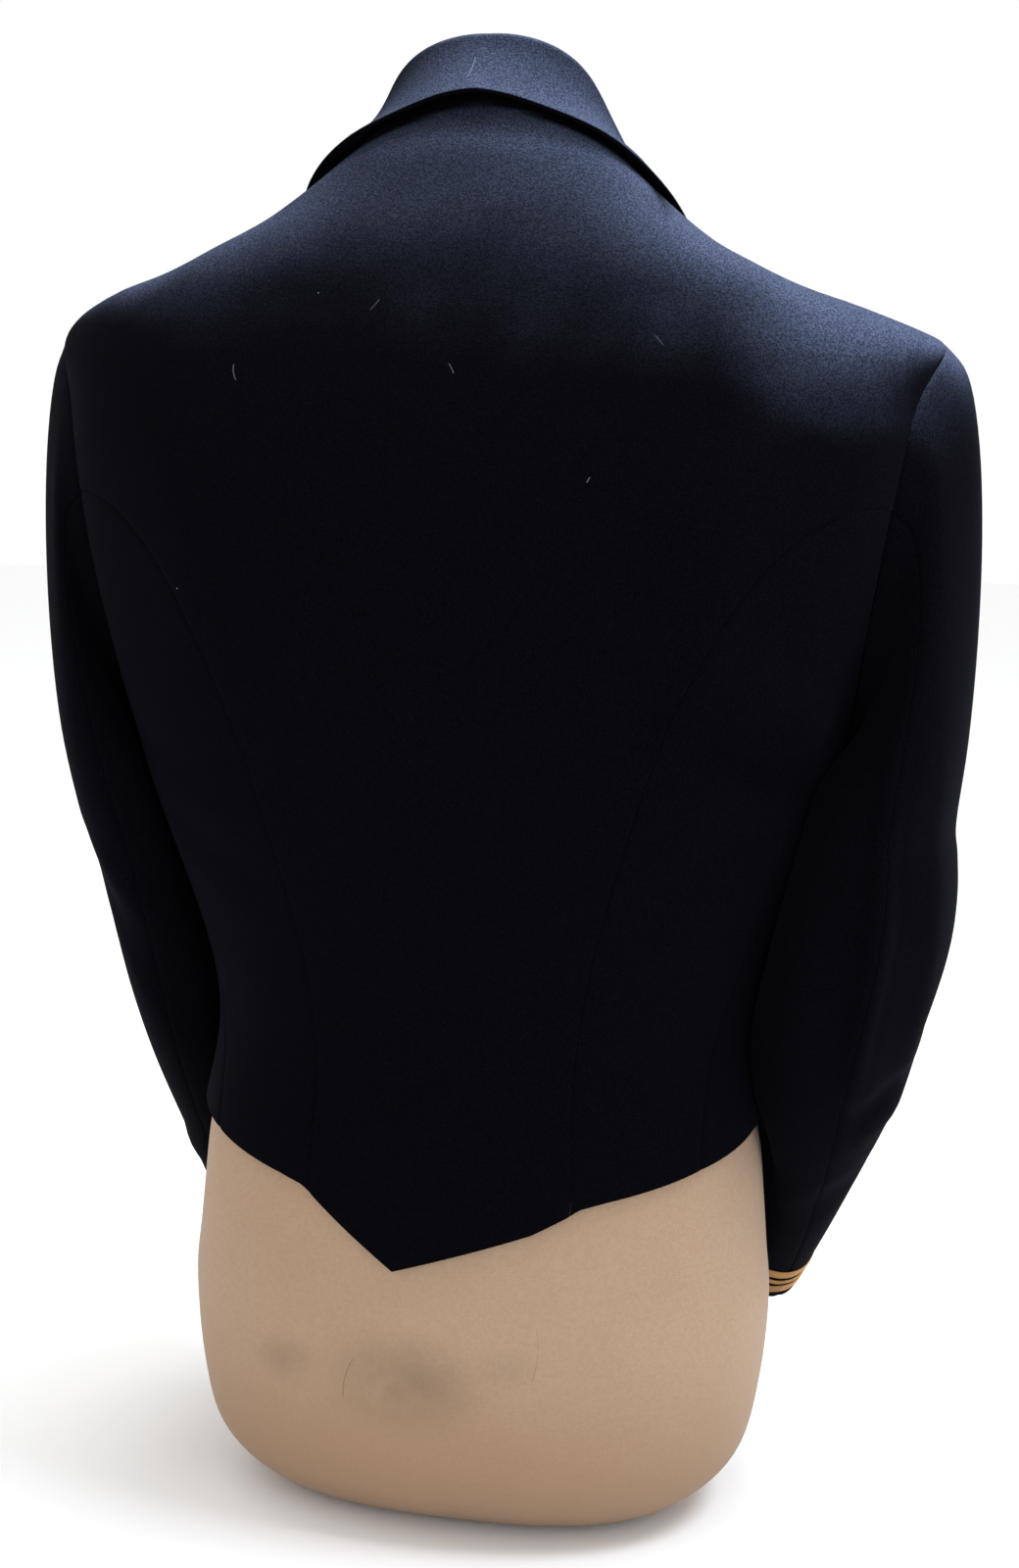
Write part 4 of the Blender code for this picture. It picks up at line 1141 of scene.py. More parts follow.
@functools.cache
def sleeve_surface(word):
    """The creased outside of a sleeve, drawn on the left side, and its way out, from cuff to armhole."""
    coarse = sleeve_grid(word)
    rows = np.linspace(0, len(coarse) - 1, (len(coarse) - 1) * FINER + 1)
    grid = smooth(coarse, rows)[::-1]
    grid = smooth(grid, near_places(len(grid)))
    normals = grid_normals(grid, wrap=True)
    _, rim_normals, low = armhole_rim()
    normals[-1] = unit(rim_normals * (1 - low) + normals[-1] * low)
    from_armhole = run_length(grid[::-1], 0)[::-1]
    side = SIDES[word]
    near_body = np.exp(-from_armhole / ARMHOLE_REACH)
    lines = [(mirrored(line, side), half_width, depth) for line, half_width, depth in body_lines()]
    move = crease_offset(grid, sleeve_lines(coarse, word)) * (1 - near_body)
    move = move + crease_offset(grid, lines) * near_body
    return kept_off_body(grid, grid + normals * move[..., None]), normals


def make_sleeve(word, look):
    """The top sleeve and the under sleeve of one arm, cut from the same surface."""
    side = SIDES[word]
    grid, normals = sleeve_surface(word)
    both = np.concatenate([grid, normals], axis=-1)
    back, front = sleeve_split()
    cuts = {
        "top_sleeve": np.concatenate([both[:, front:], both[:, :back + 1]], axis=1),
        "under_sleeve": both[:, back:front + 1],
    }
    for part, cut in cuts.items():
        cut = smooth(cut.swapaxes(0, 1), near_places(cut.shape[1])).swapaxes(0, 1)
        outer, out = cut[..., :3], unit(cut[..., 3:])
        seams = ("left", "right", "top")
        outer = outer - out * seam_dip(outer, seams)[..., None]
        item = cloth_object(
            f"{part}_cloth_{word}", mirrored(outer, side), mirrored(out, side), look, seams, side < 0
        )
        declare_sheet(item, f"{part}_{word}")


def lace_name(band, word):
    """The name of a band's piece."""
    return f"cuff_lace_{band}_band_{word}"


def make_lace(word, look):
    """Three woven bands round the cuff, laid on the sleeve and ribbed across."""
    side = SIDES[word]
    grid, normals = sleeve_surface(word)
    columns = LACE_RIBS * LACE_STEPS_PER_RIB
    share = np.linspace(0, 1, columns + 1)[:-1]
    wide = np.concatenate([grid, grid[:, :1]], axis=1)
    wide_out = np.concatenate([normals, normals[:, :1]], axis=1)
    place = share * grid.shape[1]
    wide = smooth(wide.swapaxes(0, 1), place).swapaxes(0, 1)
    out = unit(smooth(wide_out.swapaxes(0, 1), place).swapaxes(0, 1))[0]
    height = run_length(wide, 0)
    rib = LACE_RIB_HEIGHT * np.cos(2 * np.pi * LACE_RIBS * share)
    low = LACE_EDGE
    for number, (part, width) in enumerate(LACE_WIDTHS.items()):
        wander = settings().lace_wander * sum(
            size * np.sin(2 * np.pi * (waves * share + number * shift)) for waves, shift, size in LACE_STRAYS
        )
        rings = []
        for across in np.linspace(0, 1, LACE_ACROSS):
            distance = low + width * across + wander
            spot = np.stack([
                [np.interp(distance[j], height[:, j], wide[:, j, axis]) for axis in range(3)]
                for j in range(columns)
            ])
            crown = 1 - (2 * across - 1) ** 4
            cord = math.exp(-((abs(2 * across - 1) - LACE_CORD_PLACE) / LACE_CORD_WIDTH) ** 2)
            thick = LACE_SHARES["edge"] + LACE_SHARES["crown"] * crown + LACE_SHARES["cord"] * cord
            lift = LACE_LIFT + LACE_THICKNESS * thick
            rings.append(spot + out * (lift + rib * (crown + LACE_RIB_AT_EDGE))[:, None])
            if across in (0.0, 1.0):
                foot = spot + out * LACE_LIFT
                rings.insert(len(rings) - 1 if across == 0.0 else len(rings), foot)
        rings = mirrored(np.array(rings), side)
        faces, corners = ring_faces(len(rings), columns, closed_rows=True)
        if side < 0:
            faces, corners = faces[:, ::-1], corners[:, ::-1]
        places = round_places(rings, closed_rows=True)
        item = new_object(lace_name(part, word), leaned(rings).reshape(-1, 3), faces, places, corners, look)
        declare(item, f"cuff_lace_{part}_{word}")
        low += width + LACE_GAP


def turned(profile, angles):
    """Rings of a turned shape from its half section, given as radii and heights."""
    return np.stack([
        np.outer(profile[:, 0], np.cos(angles)),
        np.outer(profile[:, 0], np.sin(angles)),
        np.repeat(profile[:, 1:], len(angles), axis=1),
    ], axis=-1)


def button_profile():
    """Half section of a domed button from the top of its dome down to its flat back."""
    dome_radius = BUTTON_RADIUS - BUTTON_LIP
    profile = []
    for degrees in BUTTON_DOME_ANGLES:
        angle = math.radians(degrees)
        profile.append((dome_radius * math.sin(angle), BUTTON_RIM + BUTTON_DOME * math.cos(angle)))
    profile += [(BUTTON_RADIUS - BUTTON_LIP * inset, BUTTON_RIM * height) for inset, height in BUTTON_EDGE]
    profile.append((BUTTON_RADIUS * BUTTON_BACK, 0.0))
    return np.array(profile)


def make_button(word, number, height, look):
    """One button, turned to face out of its front."""
    side = SIDES[word]
    level = level_at_height(height)
    spot = leaned(mirrored(body_point(BUTTON_TURN, level, BUTTON_LIFT), side))
    normal = Vector(mirrored(body_normal(np.array(BUTTON_TURN), level), side))
    turn = normal.to_track_quat("Z", "Y").to_matrix()
    angles = np.linspace(0, 2 * np.pi, BUTTON_SIDES + 1)[:-1]
    rings = turned(button_profile()[::-1], angles) @ np.array(turn).T + spot
    faces, corners = ring_faces(len(rings), BUTTON_SIDES)
    item = new_object(
        f"gilt_button_{word}_{number}", rings.reshape(-1, 3), faces, round_places(rings), corners, look
    )
    close_ends(item)
    declare(item, f"button_{word}_{number}")


def close_ends(item):
    """Closes the open first and last rings of a round mesh, and welds a point that they shrink to."""
    mesh = bmesh.new()
    mesh.from_mesh(item.data)
    bmesh.ops.remove_doubles(mesh, verts=mesh.verts, dist=WELD)
    bmesh.ops.holes_fill(mesh, edges=[edge for edge in mesh.edges if edge.is_boundary], sides=0)
    for face in mesh.faces:
        face.smooth = True
    mesh.to_mesh(item.data)
    mesh.free()


def form_rings():
    """Rings of the form from its flat underside up to the top of its neck."""
    turns = np.linspace(0, 360, FORM_SIDES + 1)[:-1]
    top = body_point(turns, np.zeros_like(turns), -(CLOTH + BODY["ease"][0]))
    flat = top * np.array([1.0, 1.0, 0.0])
    rings = []
    for height in FORM_FOOT_HEIGHTS:
        taper = FORM_TAPER * (1 - height / BODY["z_side"][0]) ** 2
        sag = 1 - min(height / FORM_FOOT_RADIUS, 1)
        inset = FORM_FOOT_RADIUS * (1 - math.sqrt(1 - sag**2))
        ring = flat * (1 - taper) - unit(flat) * inset
        ring[:, 2] = height
        rings.append(ring)
    for level in np.linspace(0, NECK_LEVEL, FORM_LEVELS):
        ease = smooth(BODY["ease"], level)
        side = smooth(BODY["ease_side"], level)
        room = ease + (side - ease) * np.sin(np.radians(turns)) ** 4
        rings.append(body_point(turns, np.full_like(turns, level), -(CLOTH + room)))
    last = rings[-1]
    middle = last.mean(axis=0)
    for rise, scale in FORM_NECK.values():
        ring = middle + (last - middle) * scale
        ring[:, 2] = ring[:, 2] + rise
        ring[:, 1] -= rise * FORM_NECK_LEAN
        rings.append(ring)
    return np.array(rings)


def make_form(look):
    """The form's skin, closed at its underside and at the top of its neck."""
    coarse = form_rings()
    rings = leaned(smooth(coarse, np.linspace(0, len(coarse) - 1, (len(coarse) - 1) * FORM_FINER + 1)))
    faces, corners = ring_faces(len(rings), FORM_SIDES)
    item = new_object(
        "form_skin", rings.reshape(-1, 3), faces[:, ::-1], round_places(rings), corners[:, ::-1], look
    )
    close_ends(item)
    declare(item, "dress_form")


# Node helpers and shared effects

def add(tree, kind, inputs=None, **values):
    """Adds a node, sets its values and its inputs, which are either numbers or sockets to link."""
    node = tree.nodes.new(kind)
    for name, value in values.items():
        setattr(node, name, value)
    for key, value in (inputs or {}).items():
        socket = node.inputs[key]
        if isinstance(value, bpy.types.NodeSocket):
            tree.links.new(value, socket)
        else:
            socket.default_value = value
    return node


def maths(tree, operation, first, second=0.0):
    """The result of a sum on two numbers or sockets."""
    return add(tree, "ShaderNodeMath", {0: first, 1: second}, operation=operation).outputs[0]


def ramp(tree, value, low, high):
    """Reads a value as nought below low and one above high, softly between."""
    node = add(tree, "ShaderNodeMapRange", {"Value": value, "From Min": low, "From Max": high})
    node.interpolation_type = "SMOOTHSTEP"
    return node.outputs["Result"]


def blend(tree, share, first, second):
    """Mixes two colours by a share. Each is a socket, or red, green and blue."""
    first, second = (
        colour if isinstance(colour, bpy.types.NodeSocket) else (*colour, 1) for colour in (first, second)
    )
    return add(tree, "ShaderNodeMix", {0: share, 6: first, 7: second}, data_type="RGBA").outputs[2]


def stained(tree, base, mask, strength, colour):
    """A base colour with another over it, by a mask and the strength that it has."""
    return blend(tree, maths(tree, "MULTIPLY", mask, strength), base, colour)


def soft_spot(tree, place, middle, sizes):
    """One in the middle of a soft spot and nought from its half sizes on."""
    away = add(tree, "ShaderNodeVectorMath", {0: place, 1: middle}, operation="SUBTRACT").outputs[0]
    share = add(tree, "ShaderNodeVectorMath", {0: away, 1: sizes}, operation="DIVIDE").outputs[0]
    length = add(tree, "ShaderNodeVectorMath", {0: share}, operation="LENGTH").outputs["Value"]
    return ramp(tree, length, 1.0, 0.0)


def hair_mark(tree, place, middle, half_length, slant, bend):
    """A fine curved line on the back of the part: one on the line and nought beside it."""
    parts = add(tree, "ShaderNodeSeparateXYZ", {0: place})
    along = maths(tree, "SUBTRACT", parts.outputs["Z"], middle[1])
    across = maths(tree, "SUBTRACT", parts.outputs["X"], middle[0])
    across = maths(tree, "SUBTRACT", across, maths(tree, "MULTIPLY", along, slant))
    curve = maths(tree, "MULTIPLY", maths(tree, "MULTIPLY", along, along), bend)
    away = maths(tree, "ABSOLUTE", maths(tree, "SUBTRACT", across, curve))
    fine = ramp(tree, away, HAIR_WIDTH, HAIR_WIDTH * HAIR_CORE)
    within = ramp(tree, maths(tree, "ABSOLUTE", along), half_length, half_length * HAIR_FULL)
    behind = maths(tree, "GREATER_THAN", parts.outputs["Y"], 0.0)
    return maths(tree, "MULTIPLY", maths(tree, "MULTIPLY", fine, within), behind)


def with_hairs(tree, base, place, hairs, colour):
    """A base colour with fine hairs or threads over it."""
    for middle, half_length, slant, bend, strength in hairs:
        mark = hair_mark(tree, place, middle, half_length, slant, bend)
        base = stained(tree, base, mark, strength, colour)
    return base


def new_group(name, inputs, outputs):
    """A node group with float or vector inputs, given with their defaults, and float outputs."""
    group = bpy.data.node_groups.new(name, "ShaderNodeTree")
    for label, value in inputs.items():
        kind = "NodeSocketVector" if value is None else "NodeSocketFloat"
        socket = group.interface.new_socket(label, in_out="INPUT", socket_type=kind)
        if value is not None:
            socket.default_value = value
    for label in outputs:
        group.interface.new_socket(label, in_out="OUTPUT", socket_type="NodeSocketFloat")
    return group, add(group, "NodeGroupInput").outputs, add(group, "NodeGroupOutput").inputs


def threads_group():
    """Crossing threads, slanted for twill, with uneven thickness. Height and the gaps between them."""
    group, given, out = new_group(
        "Woven Threads",
        {"Map": None, "Across": 900.0, "Up": 900.0, "Slant": 0.0, "Uneven": 0.3},
        ("Height", "Gaps"),
    )
    parts = add(group, "ShaderNodeSeparateXYZ", {0: given["Map"]})
    drift = add(group, "ShaderNodeTexNoise", {"Vector": given["Map"], **THREAD_DRIFT})
    wander = maths(group, "MULTIPLY", maths(group, "SUBTRACT", drift.outputs["Fac"], 0.5), given["Uneven"])
    u = maths(group, "MULTIPLY", parts.outputs["X"], given["Across"])
    v = maths(group, "MULTIPLY", parts.outputs["Y"], given["Up"])
    u = maths(group, "ADD", u, maths(group, "MULTIPLY", v, given["Slant"]))
    u = maths(group, "ADD", u, maths(group, "MULTIPLY", wander, THREAD_STRAYS[0]))
    v = maths(group, "ADD", v, maths(group, "MULTIPLY", wander, THREAD_STRAYS[1]))
    warp = maths(group, "SINE", maths(group, "MULTIPLY", u, 2 * math.pi))
    weft = maths(group, "SINE", maths(group, "MULTIPLY", v, 2 * math.pi))
    height = maths(group, "ADD", maths(group, "MULTIPLY", warp, 0.25), maths(group, "MULTIPLY", weft, 0.25))
    height = maths(group, "ADD", height, 0.5)
    group.links.new(height, out["Height"])
    group.links.new(ramp(group, height, *THREAD_GAPS), out["Gaps"])
    return group


def surface_group():
    """Broad blotches, a fine nap and sparse specks over a surface."""
    group, given, out = new_group(
        "Nap and Blotches",
        {"Place": None, "Blotch Scale": 12.0, "Nap Scale": 1500.0, "Speck Scale": 60.0, "Speck Size": 0.03},
        ("Blotch", "Nap", "Specks"),
    )
    place = given["Place"]
    blotch = add(
        group, "ShaderNodeTexNoise",
        {"Vector": place, "Scale": given["Blotch Scale"], "Detail": BLOTCH_DETAIL},
    )
    nap = add(group, "ShaderNodeTexNoise", {"Vector": place, "Scale": given["Nap Scale"], **NAP_DETAIL})
    bent = add(group, "ShaderNodeTexNoise", {"Vector": place, **SPECK_BEND})
    shifted = add(
        group, "ShaderNodeVectorMath", {0: bent.outputs["Color"], "Scale": SPECK_BEND_SIZE}, operation="SCALE"
    )
    placed = add(group, "ShaderNodeVectorMath", {0: place, 1: shifted.outputs[0]}, operation="ADD")
    cells = add(group, "ShaderNodeTexVoronoi", {"Vector": placed.outputs[0], "Scale": given["Speck Scale"]})
    chance = add(group, "ShaderNodeSeparateColor", {0: cells.outputs["Color"]}).outputs[0]
    chosen = maths(group, "GREATER_THAN", chance, SPECK_FREE)
    near = maths(group, "LESS_THAN", cells.outputs["Distance"], given["Speck Size"])
    group.links.new(ramp(group, blotch.outputs["Fac"], *BLOTCH_EDGES), out["Blotch"])
    group.links.new(nap.outputs["Fac"], out["Nap"])
    group.links.new(maths(group, "MULTIPLY", chosen, near), out["Specks"])
    return group


def shared(maker, name):
    """A node group by name, built the first time that it is asked for."""
    return bpy.data.node_groups.get(name) or maker()


def new_look(name):
    """A material with its tree, its shader, the outputs of the two shared effects, and the place."""
    values = FINISHES[name]
    made = bpy.data.materials.new(f"{name} finish")
    made.use_nodes = True
    tree = made.node_tree
    shader = tree.nodes["Principled BSDF"]
    for key, value in values["shader"].items():
        shader.inputs[key].default_value = value
    place = add(tree, "ShaderNodeTexCoord").outputs["Object"]
    weave = add(tree, "ShaderNodeUVMap", uv_map=WEAVE_MAP).outputs["UV"]
    threads = add(
        tree, "ShaderNodeGroup", {"Map": weave, **values["threads"]},
        node_tree=shared(threads_group, "Woven Threads"),
    )
    surface = add(
        tree, "ShaderNodeGroup", {"Place": place, **values["surface"]},
        node_tree=shared(surface_group, "Nap and Blotches"),
    )
    return made, tree, shader, threads.outputs, surface.outputs, place


def finish_surface(name, tree, shader, base, nap, height):
    """Gives the shader its base colour, a roughness that the nap adds to, and a bump."""
    least, more = FINISHES[name]["rough"]
    distance, strength = FINISHES[name]["bump"]
    rough = maths(tree, "ADD", maths(tree, "MULTIPLY", nap, more), least)
    bump = add(tree, "ShaderNodeBump", {"Height": height, "Distance": distance, "Strength": strength})
    tree.links.new(base, shader.inputs["Base Color"])
    tree.links.new(rough, shader.inputs["Roughness"])
    tree.links.new(bump.outputs["Normal"], shader.inputs["Normal"])


def relief(tree, greater, lesser):
    """The height of one effect with a share of another."""
    return maths(tree, "ADD", greater, maths(tree, "MULTIPLY", lesser, LESSER_RELIEF))


def painted_light_share(tree, surface, place):
    """Share of painted light on the wool: most facing up to the light, none low down or under the fall."""
    normal = add(tree, "ShaderNodeNewGeometry").outputs["Normal"]
    # Light painted on the wool: paler where it faces up and to the wearer's right, where the lamps are
    upward = add(tree, "ShaderNodeVectorMath", {0: normal, 1: LIGHT_PAINTED_FROM}, operation="DOT_PRODUCT")
    uneven = maths(tree, "MULTIPLY", maths(tree, "SUBTRACT", surface["Blotch"], 0.5), PAINTED_LIGHT_UNEVEN)
    facing = maths(tree, "ADD", upward.outputs["Value"], uneven)
    # Spots of more painted light on the right shoulder and the collar
    for middle, sizes, strength in PAINTED_LIGHT_SPOTS:
        spot = maths(tree, "MULTIPLY", soft_spot(tree, place, middle, sizes), strength)
        facing = maths(tree, "ADD", facing, spot)
    facing = maths(tree, "POWER", ramp(tree, facing, *PAINTED_LIGHT_FACING), PAINTED_LIGHT_POWER)
    # Painted light only high up on the jacket
    height = add(tree, "ShaderNodeSeparateXYZ", {0: place}).outputs["Z"]
    facing = maths(tree, "MULTIPLY", facing, ramp(tree, height, *PAINTED_LIGHT_HEIGHTS))
    # No painted light under the collar's fall: a painted shadow there
    fall_shadow = add(tree, "ShaderNodeAttribute", attribute_name=PAINTED_SHADOW_MARK).outputs["Fac"]
    return maths(tree, "MULTIPLY", facing, maths(tree, "SUBTRACT", 1.0, fall_shadow))


def wool_look():
    """Dark napped wool with light painted where it faces up, a soft twill under it and a little lint."""
    made, tree, shader, threads, surface, place = new_look("navy wool")
    nap = ramp(tree, surface["Nap"], *NAP_RAISED)
    dark = blend(tree, nap, settings().navy, settings().nap)
    # The wool's colours in painted light
    lit = blend(tree, nap, settings().painted_light_deep, settings().painted_light_nap)
    base = blend(tree, painted_light_share(tree, surface, place), dark, lit)
    base = stained(tree, base, surface["Specks"], WOOL_SPECKS, settings().lint)
    base = with_hairs(tree, base, place, LINT, settings().lint)
    finish_surface("navy wool", tree, shader, base, nap, relief(tree, surface["Nap"], threads["Height"]))
    return made


def lace_look():
    """Gold braid: bright threads across dark gaps, a little metal in them."""
    made, tree, shader, threads, surface, _ = new_look("gold lace")
    base = blend(tree, threads["Gaps"], settings().gold, settings().gold_deep)
    base = stained(tree, base, surface["Blotch"], LACE_AGED, settings().gold_deep)
    metal = maths(tree, "SUBTRACT", LACE_METAL, maths(tree, "MULTIPLY", threads["Gaps"], LACE_GAPS_DULLER))
    tree.links.new(metal, shader.inputs["Metallic"])
    finish_surface("gold lace", tree, shader, base, surface["Nap"], threads["Height"])
    return made


def gilt_look():
    """Plain polished gilt, with fine handling marks."""
    made, tree, shader, _, surface, _ = new_look("gilt metal")
    base = blend(tree, surface["Blotch"], settings().gilt, settings().gilt_deep)
    finish_surface("gilt metal", tree, shader, base, surface["Nap"], surface["Nap"])
    return made


def canvas_look():
    """A tight canvas skin with a few smudges and hair marks, and shade painted on near its foot."""
    made, tree, shader, threads, surface, place = new_look("form canvas")
    # One colour for the canvas's grime and for the shade painted at its foot
    grime_and_shade = settings().canvas_grime_and_shade
    base = stained(tree, settings().canvas, surface["Blotch"], CANVAS_BLOTCHES, grime_and_shade)
    grain = ramp(tree, surface["Nap"], *CANVAS_GRAIN_EDGES)
    base = stained(tree, base, grain, CANVAS_GRAIN, grime_and_shade)
    patches = add(tree, "ShaderNodeTexNoise", {"Vector": place, **SMUDGE_PATCHES}).outputs["Fac"]
    patches = ramp(tree, patches, *SMUDGE_PATCH_EDGES)
    for middle, sizes, strength in SMUDGES:
        share = maths(tree, "MULTIPLY", soft_spot(tree, place, middle, sizes), strength)
        base = stained(tree, base, share, patches, settings().smudge)
    base = with_hairs(tree, base, place, HAIRS, settings().hair)
    height = add(tree, "ShaderNodeSeparateXYZ", {0: place}).outputs["Z"]
    # Painted shade: darker towards the foot, where less light reaches
    base = stained(tree, base, ramp(tree, height, SHADED_BELOW, 0.0), SHADED_SHARE, grime_and_shade)
    base = stained(tree, base, surface["Specks"], CANVAS_SPECKS, grime_and_shade)
    base = stained(tree, base, threads["Gaps"], CANVAS_GAPS, grime_and_shade)
    raised = relief(tree, threads["Height"], surface["Nap"])
    finish_surface("form canvas", tree, shader, base, surface["Nap"], raised)
    return made


LOOKS = {
    "navy wool": wool_look,
    "gold lace": lace_look,
    "gilt metal": gilt_look,
    "form canvas": canvas_look,
}


def named_look(name):
    """A material by its slot's name, built the first time that it is asked for."""
    return bpy.data.materials.get(f"{name} finish") or LOOKS[name]()


# Stage

def make_camera():
    """The camera, behind the part and turned to the wearer's right."""
    turn, down, roll = math.radians(CAMERA_TURN), CAMERA_DOWN, math.radians(CAMERA_ROLL)
    ahead = Vector((math.sin(turn) * math.cos(down), -math.cos(turn) * math.cos(down), -math.sin(down)))
    right = Vector((-math.cos(turn), -math.sin(turn), 0.0))
    up = right.cross(ahead)
    across = right * math.cos(roll) + up * math.sin(roll)
    upward = up * math.cos(roll) - right * math.sin(roll)
    data = bpy.data.cameras.new("photo_camera")
    data.sensor_width = SENSOR
    data.lens = LENS_PIXELS / PICTURE[1] * SENSOR
    data.shift_x = (PICTURE[0] / 2 - AXIS_PIXEL_X) / PICTURE[1]
    camera = bpy.data.objects.new("photo_camera", data)
    bpy.context.scene.collection.objects.link(camera)
    place = Matrix((across, upward, -ahead)).transposed().to_4x4()
    place.translation = (
        -CAMERA_DISTANCE * math.sin(turn), CAMERA_DISTANCE * math.cos(turn), CAMERA_HEIGHT
    )
    camera.matrix_world = place
    bpy.context.scene.camera = camera


def make_floor():
    """A wide pale round floor."""
    mesh = bmesh.new()
    bmesh.ops.create_circle(mesh, cap_ends=True, segments=FLOOR_SIDES, radius=FLOOR_RADIUS)
    data = bpy.data.meshes.new("studio_floor")
    mesh.to_mesh(data)
    mesh.free()
    paint = bpy.data.materials.new("floor paint")
    paint.use_nodes = True
    shader = paint.node_tree.nodes["Principled BSDF"]
    shader.inputs["Base Color"].default_value = (*bpy.context.scene.jacket_stage.floor, 1)
    shader.inputs["Roughness"].default_value = FLOOR_ROUGHNESS
    data.materials.append(paint)
    floor = bpy.data.objects.new("studio_floor", data)
    bpy.context.scene.collection.objects.link(floor)


def make_light(name, place, target, size, power, tint):
    """One soft light that faces a point."""
    data = bpy.data.lights.new(name, "AREA")
    data.shape = "RECTANGLE"
    data.size, data.size_y = size
    data.energy = power
    data.color = tint
    lamp = bpy.data.objects.new(name, data)
    bpy.context.scene.collection.objects.link(lamp)
    lamp.location = place
    lamp.rotation_mode = "QUATERNION"
    lamp.rotation_quaternion = (Vector(target) - Vector(place)).to_track_quat("-Z", "Y")


def make_lights():
    """The lights, the even light from all round, and plain colours."""
    power = bpy.context.scene.jacket_stage.light
    for name, (place, target, size, share, tint) in LIGHTS.items():
        make_light(name, place, target, size, power * share, tint)
    world = bpy.data.worlds.new("studio")
    world.use_nodes = True
    background = world.node_tree.nodes["Background"]
    background.inputs["Color"].default_value = (1.0, 1.0, 1.0, 1)
    background.inputs["Strength"].default_value = bpy.context.scene.jacket_stage.sky
    bpy.context.scene.world = world
    bpy.context.scene.view_settings.view_transform = "Standard"


# Add-on

def colour_setting(name, description, default):
    """A colour that a user may change."""
    return bpy.props.FloatVectorProperty(
        name=name, description=description, default=default, min=0.0, max=1.0, subtype="COLOR", size=3
    )


class JacketClothSettings(bpy.types.PropertyGroup):
    navy: colour_setting("Wool", "Colour deep in the wool", (0.0010, 0.0008, 0.0013))
    nap: colour_setting("Nap", "Colour of the wool's raised fibres", (0.0026, 0.0022, 0.0040))
    # Colours of the light painted on the wool where it faces up, between raised fibres and on them
    painted_light_deep: colour_setting(
        "Painted light deep", "Colour between raised fibres that face up", (0.034, 0.042, 0.074)
    )
    painted_light_nap: colour_setting("Painted light nap", "Colour of raised fibres that face up", (0.114, 0.142, 0.232))
    lint: colour_setting("Lint", "Colour of the lint caught in the nap", (0.24, 0.25, 0.28))
    gold: colour_setting("Gold thread", "Colour of the lace's bright threads", (0.52, 0.26, 0.055))
    gold_deep: colour_setting("Deep gold", "Colour between the lace's threads", (0.15, 0.065, 0.013))
    gilt: colour_setting("Gilt", "Colour of the buttons", (0.80, 0.56, 0.20))
    gilt_deep: colour_setting(
        "Worn gilt", "Colour of the buttons where they are handled", (0.62, 0.40, 0.13)
    )
    canvas: colour_setting("Canvas", "Colour of the form's clean skin", (0.372, 0.247, 0.159))
    # Colour of the canvas's blotches, grain, specks and gaps, and of the shade painted at its foot
    canvas_grime_and_shade: colour_setting(
        "Grimed and shaded canvas", "Colour of the form's skin where it has aged", (0.262, 0.150, 0.078)
    )
    smudge: colour_setting("Smudge", "Colour of the grey smudge on the form", (0.150, 0.098, 0.060))
    hair: colour_setting(
        "Hair mark", "Colour of the fine hair marks on the form", (0.060, 0.038, 0.024)
    )
    crease_depth: bpy.props.FloatProperty(
        name="Crease depth", description="Share of every crease's own depth", default=1.0, min=0.0, max=1.5,
        subtype="FACTOR",
    )
    seam_dip: bpy.props.FloatProperty(
        name="Seam dip", description="How deep the cloth dips along a seam", default=0.00045, min=0.0,
        max=0.002, unit="LENGTH", precision=5,
    )
    lace_wander: bpy.props.FloatProperty(
        name="Lace wander", description="How far the lace strays from a true ring", default=LACE_WANDER,
        min=0.0, max=0.001, unit="LENGTH", precision=5,
    )


class JacketStageSettings(bpy.types.PropertyGroup):
    floor: colour_setting("Floor", "Colour of the floor", (0.95, 0.95, 0.95))
    light: bpy.props.FloatProperty(
        name="Light", description="Power that the lights share out", default=78.0, min=0.0, unit="POWER"
    )
    sky: bpy.props.FloatProperty(
        name="Sky", description="Strength of the even light from all round", default=1.0, min=0.0
    )


class JACKET_OT_form(bpy.types.Operator):
    """Make the form's canvas skin"""
    bl_idname = "jacket.form"
    bl_label = "Form"

    def execute(self, context):
        make_form(named_look("form canvas"))
        return {"FINISHED"}


class JACKET_OT_body(bpy.types.Operator):
    """Make the back, the side bodies and the fronts"""
    bl_idname = "jacket.body"
    bl_label = "Body"

    def execute(self, context):
        make_back(named_look("navy wool"))
        for word in SIDES:
            make_side_body(word, named_look("navy wool"))
            make_front(word, named_look("navy wool"))
        return {"FINISHED"}


class JACKET_OT_collar(bpy.types.Operator):
    """Make the collar and the lapels"""
    bl_idname = "jacket.collar"
    bl_label = "Collar and Lapels"

    def execute(self, context):
        make_collar(named_look("navy wool"))
        for word in SIDES:
            make_lapel(word, named_look("navy wool"))
        return {"FINISHED"}


class JACKET_OT_lace(bpy.types.Operator):
    """Lay the gold lace round both cuffs"""
    bl_idname = "jacket.lace"
    bl_label = "Cuff Lace"

    def execute(self, context):
        for word in SIDES:
            make_lace(word, named_look("gold lace"))
        return {"FINISHED"}


class JACKET_OT_sleeves(bpy.types.Operator):
    """Make both sleeves, each of a top and an under sleeve, inside their lace"""
    bl_idname = "jacket.sleeves"
    bl_label = "Sleeves"

    def execute(self, context):
        for word in SIDES:
            make_sleeve(word, named_look("navy wool"))
        return {"FINISHED"}


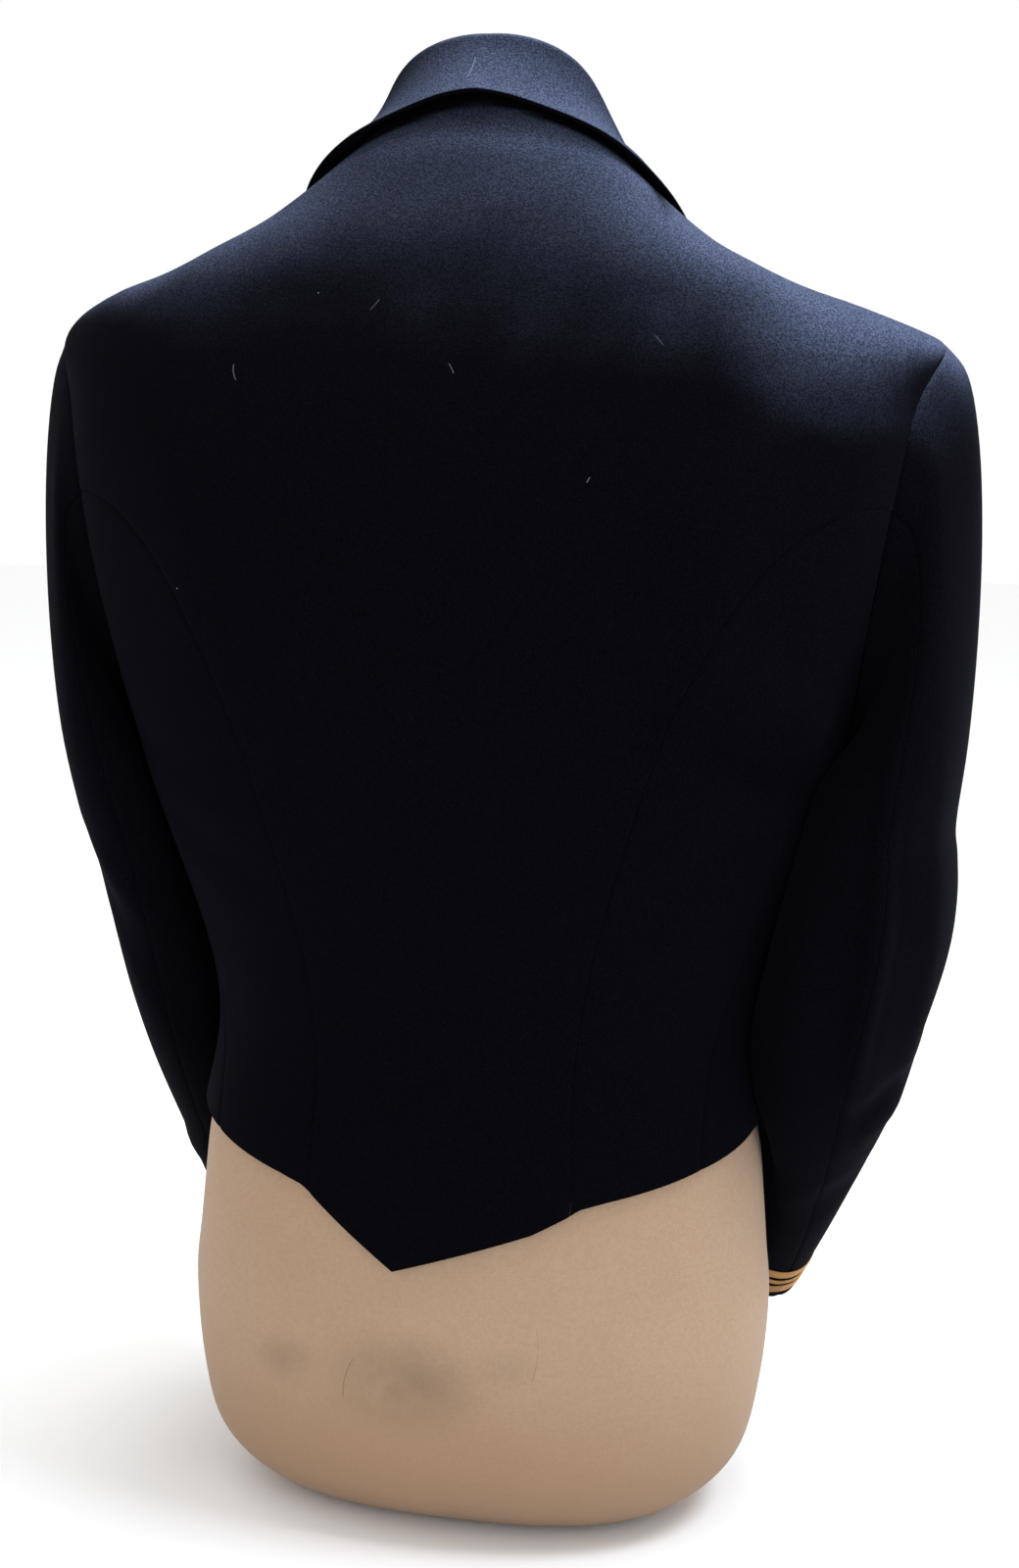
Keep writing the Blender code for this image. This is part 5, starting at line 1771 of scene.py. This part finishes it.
class JACKET_OT_buttons(bpy.types.Operator):
    """Make the gilt buttons of both fronts"""
    bl_idname = "jacket.buttons"
    bl_label = "Buttons"

    def execute(self, context):
        for word in SIDES:
            for number, height in enumerate(BUTTON_HEIGHTS, start=1):
                make_button(word, number, height, named_look("gilt metal"))
        return {"FINISHED"}


class JACKET_OT_stage(bpy.types.Operator):
    """Set the floor, the lights and the camera"""
    bl_idname = "jacket.stage"
    bl_label = "Stage"

    def execute(self, context):
        make_floor()
        make_lights()
        make_camera()
        return {"FINISHED"}


OPERATORS = (
    JACKET_OT_form, JACKET_OT_body, JACKET_OT_collar, JACKET_OT_lace,
    JACKET_OT_sleeves, JACKET_OT_buttons, JACKET_OT_stage,
)


class JACKET_PT_panel(bpy.types.Panel):
    """Lists the jacket's pieces and their settings"""
    bl_label = "Mess Jacket"
    bl_idname = "JACKET_PT_panel"
    bl_space_type = "VIEW_3D"
    bl_region_type = "UI"
    bl_category = "Jacket"

    def draw(self, context):
        for group in (context.scene.jacket_cloth, context.scene.jacket_stage):
            box = self.layout.box()
            for name in group.__annotations__:
                box.prop(group, name)
        for operator in OPERATORS:
            self.layout.operator(operator.bl_idname)


CLASSES = (JacketClothSettings, JacketStageSettings, *OPERATORS, JACKET_PT_panel)


def register():
    """Registers the classes and gives the scene its settings."""
    for item in CLASSES:
        bpy.utils.register_class(item)
    bpy.types.Scene.jacket_cloth = bpy.props.PointerProperty(type=JacketClothSettings)
    bpy.types.Scene.jacket_stage = bpy.props.PointerProperty(type=JacketStageSettings)


def unregister():
    """Takes back what register did."""
    del bpy.types.Scene.jacket_stage
    del bpy.types.Scene.jacket_cloth
    for item in reversed(CLASSES):
        bpy.utils.unregister_class(item)


def main():
    """Dresses the part."""
    register()
    bpy.ops.jacket.form()
    bpy.ops.jacket.body()
    bpy.ops.jacket.collar()
    bpy.ops.jacket.lace()
    bpy.ops.jacket.sleeves()
    bpy.ops.jacket.buttons()
    bpy.ops.jacket.stage()


if __name__ == "__main__":
    main()
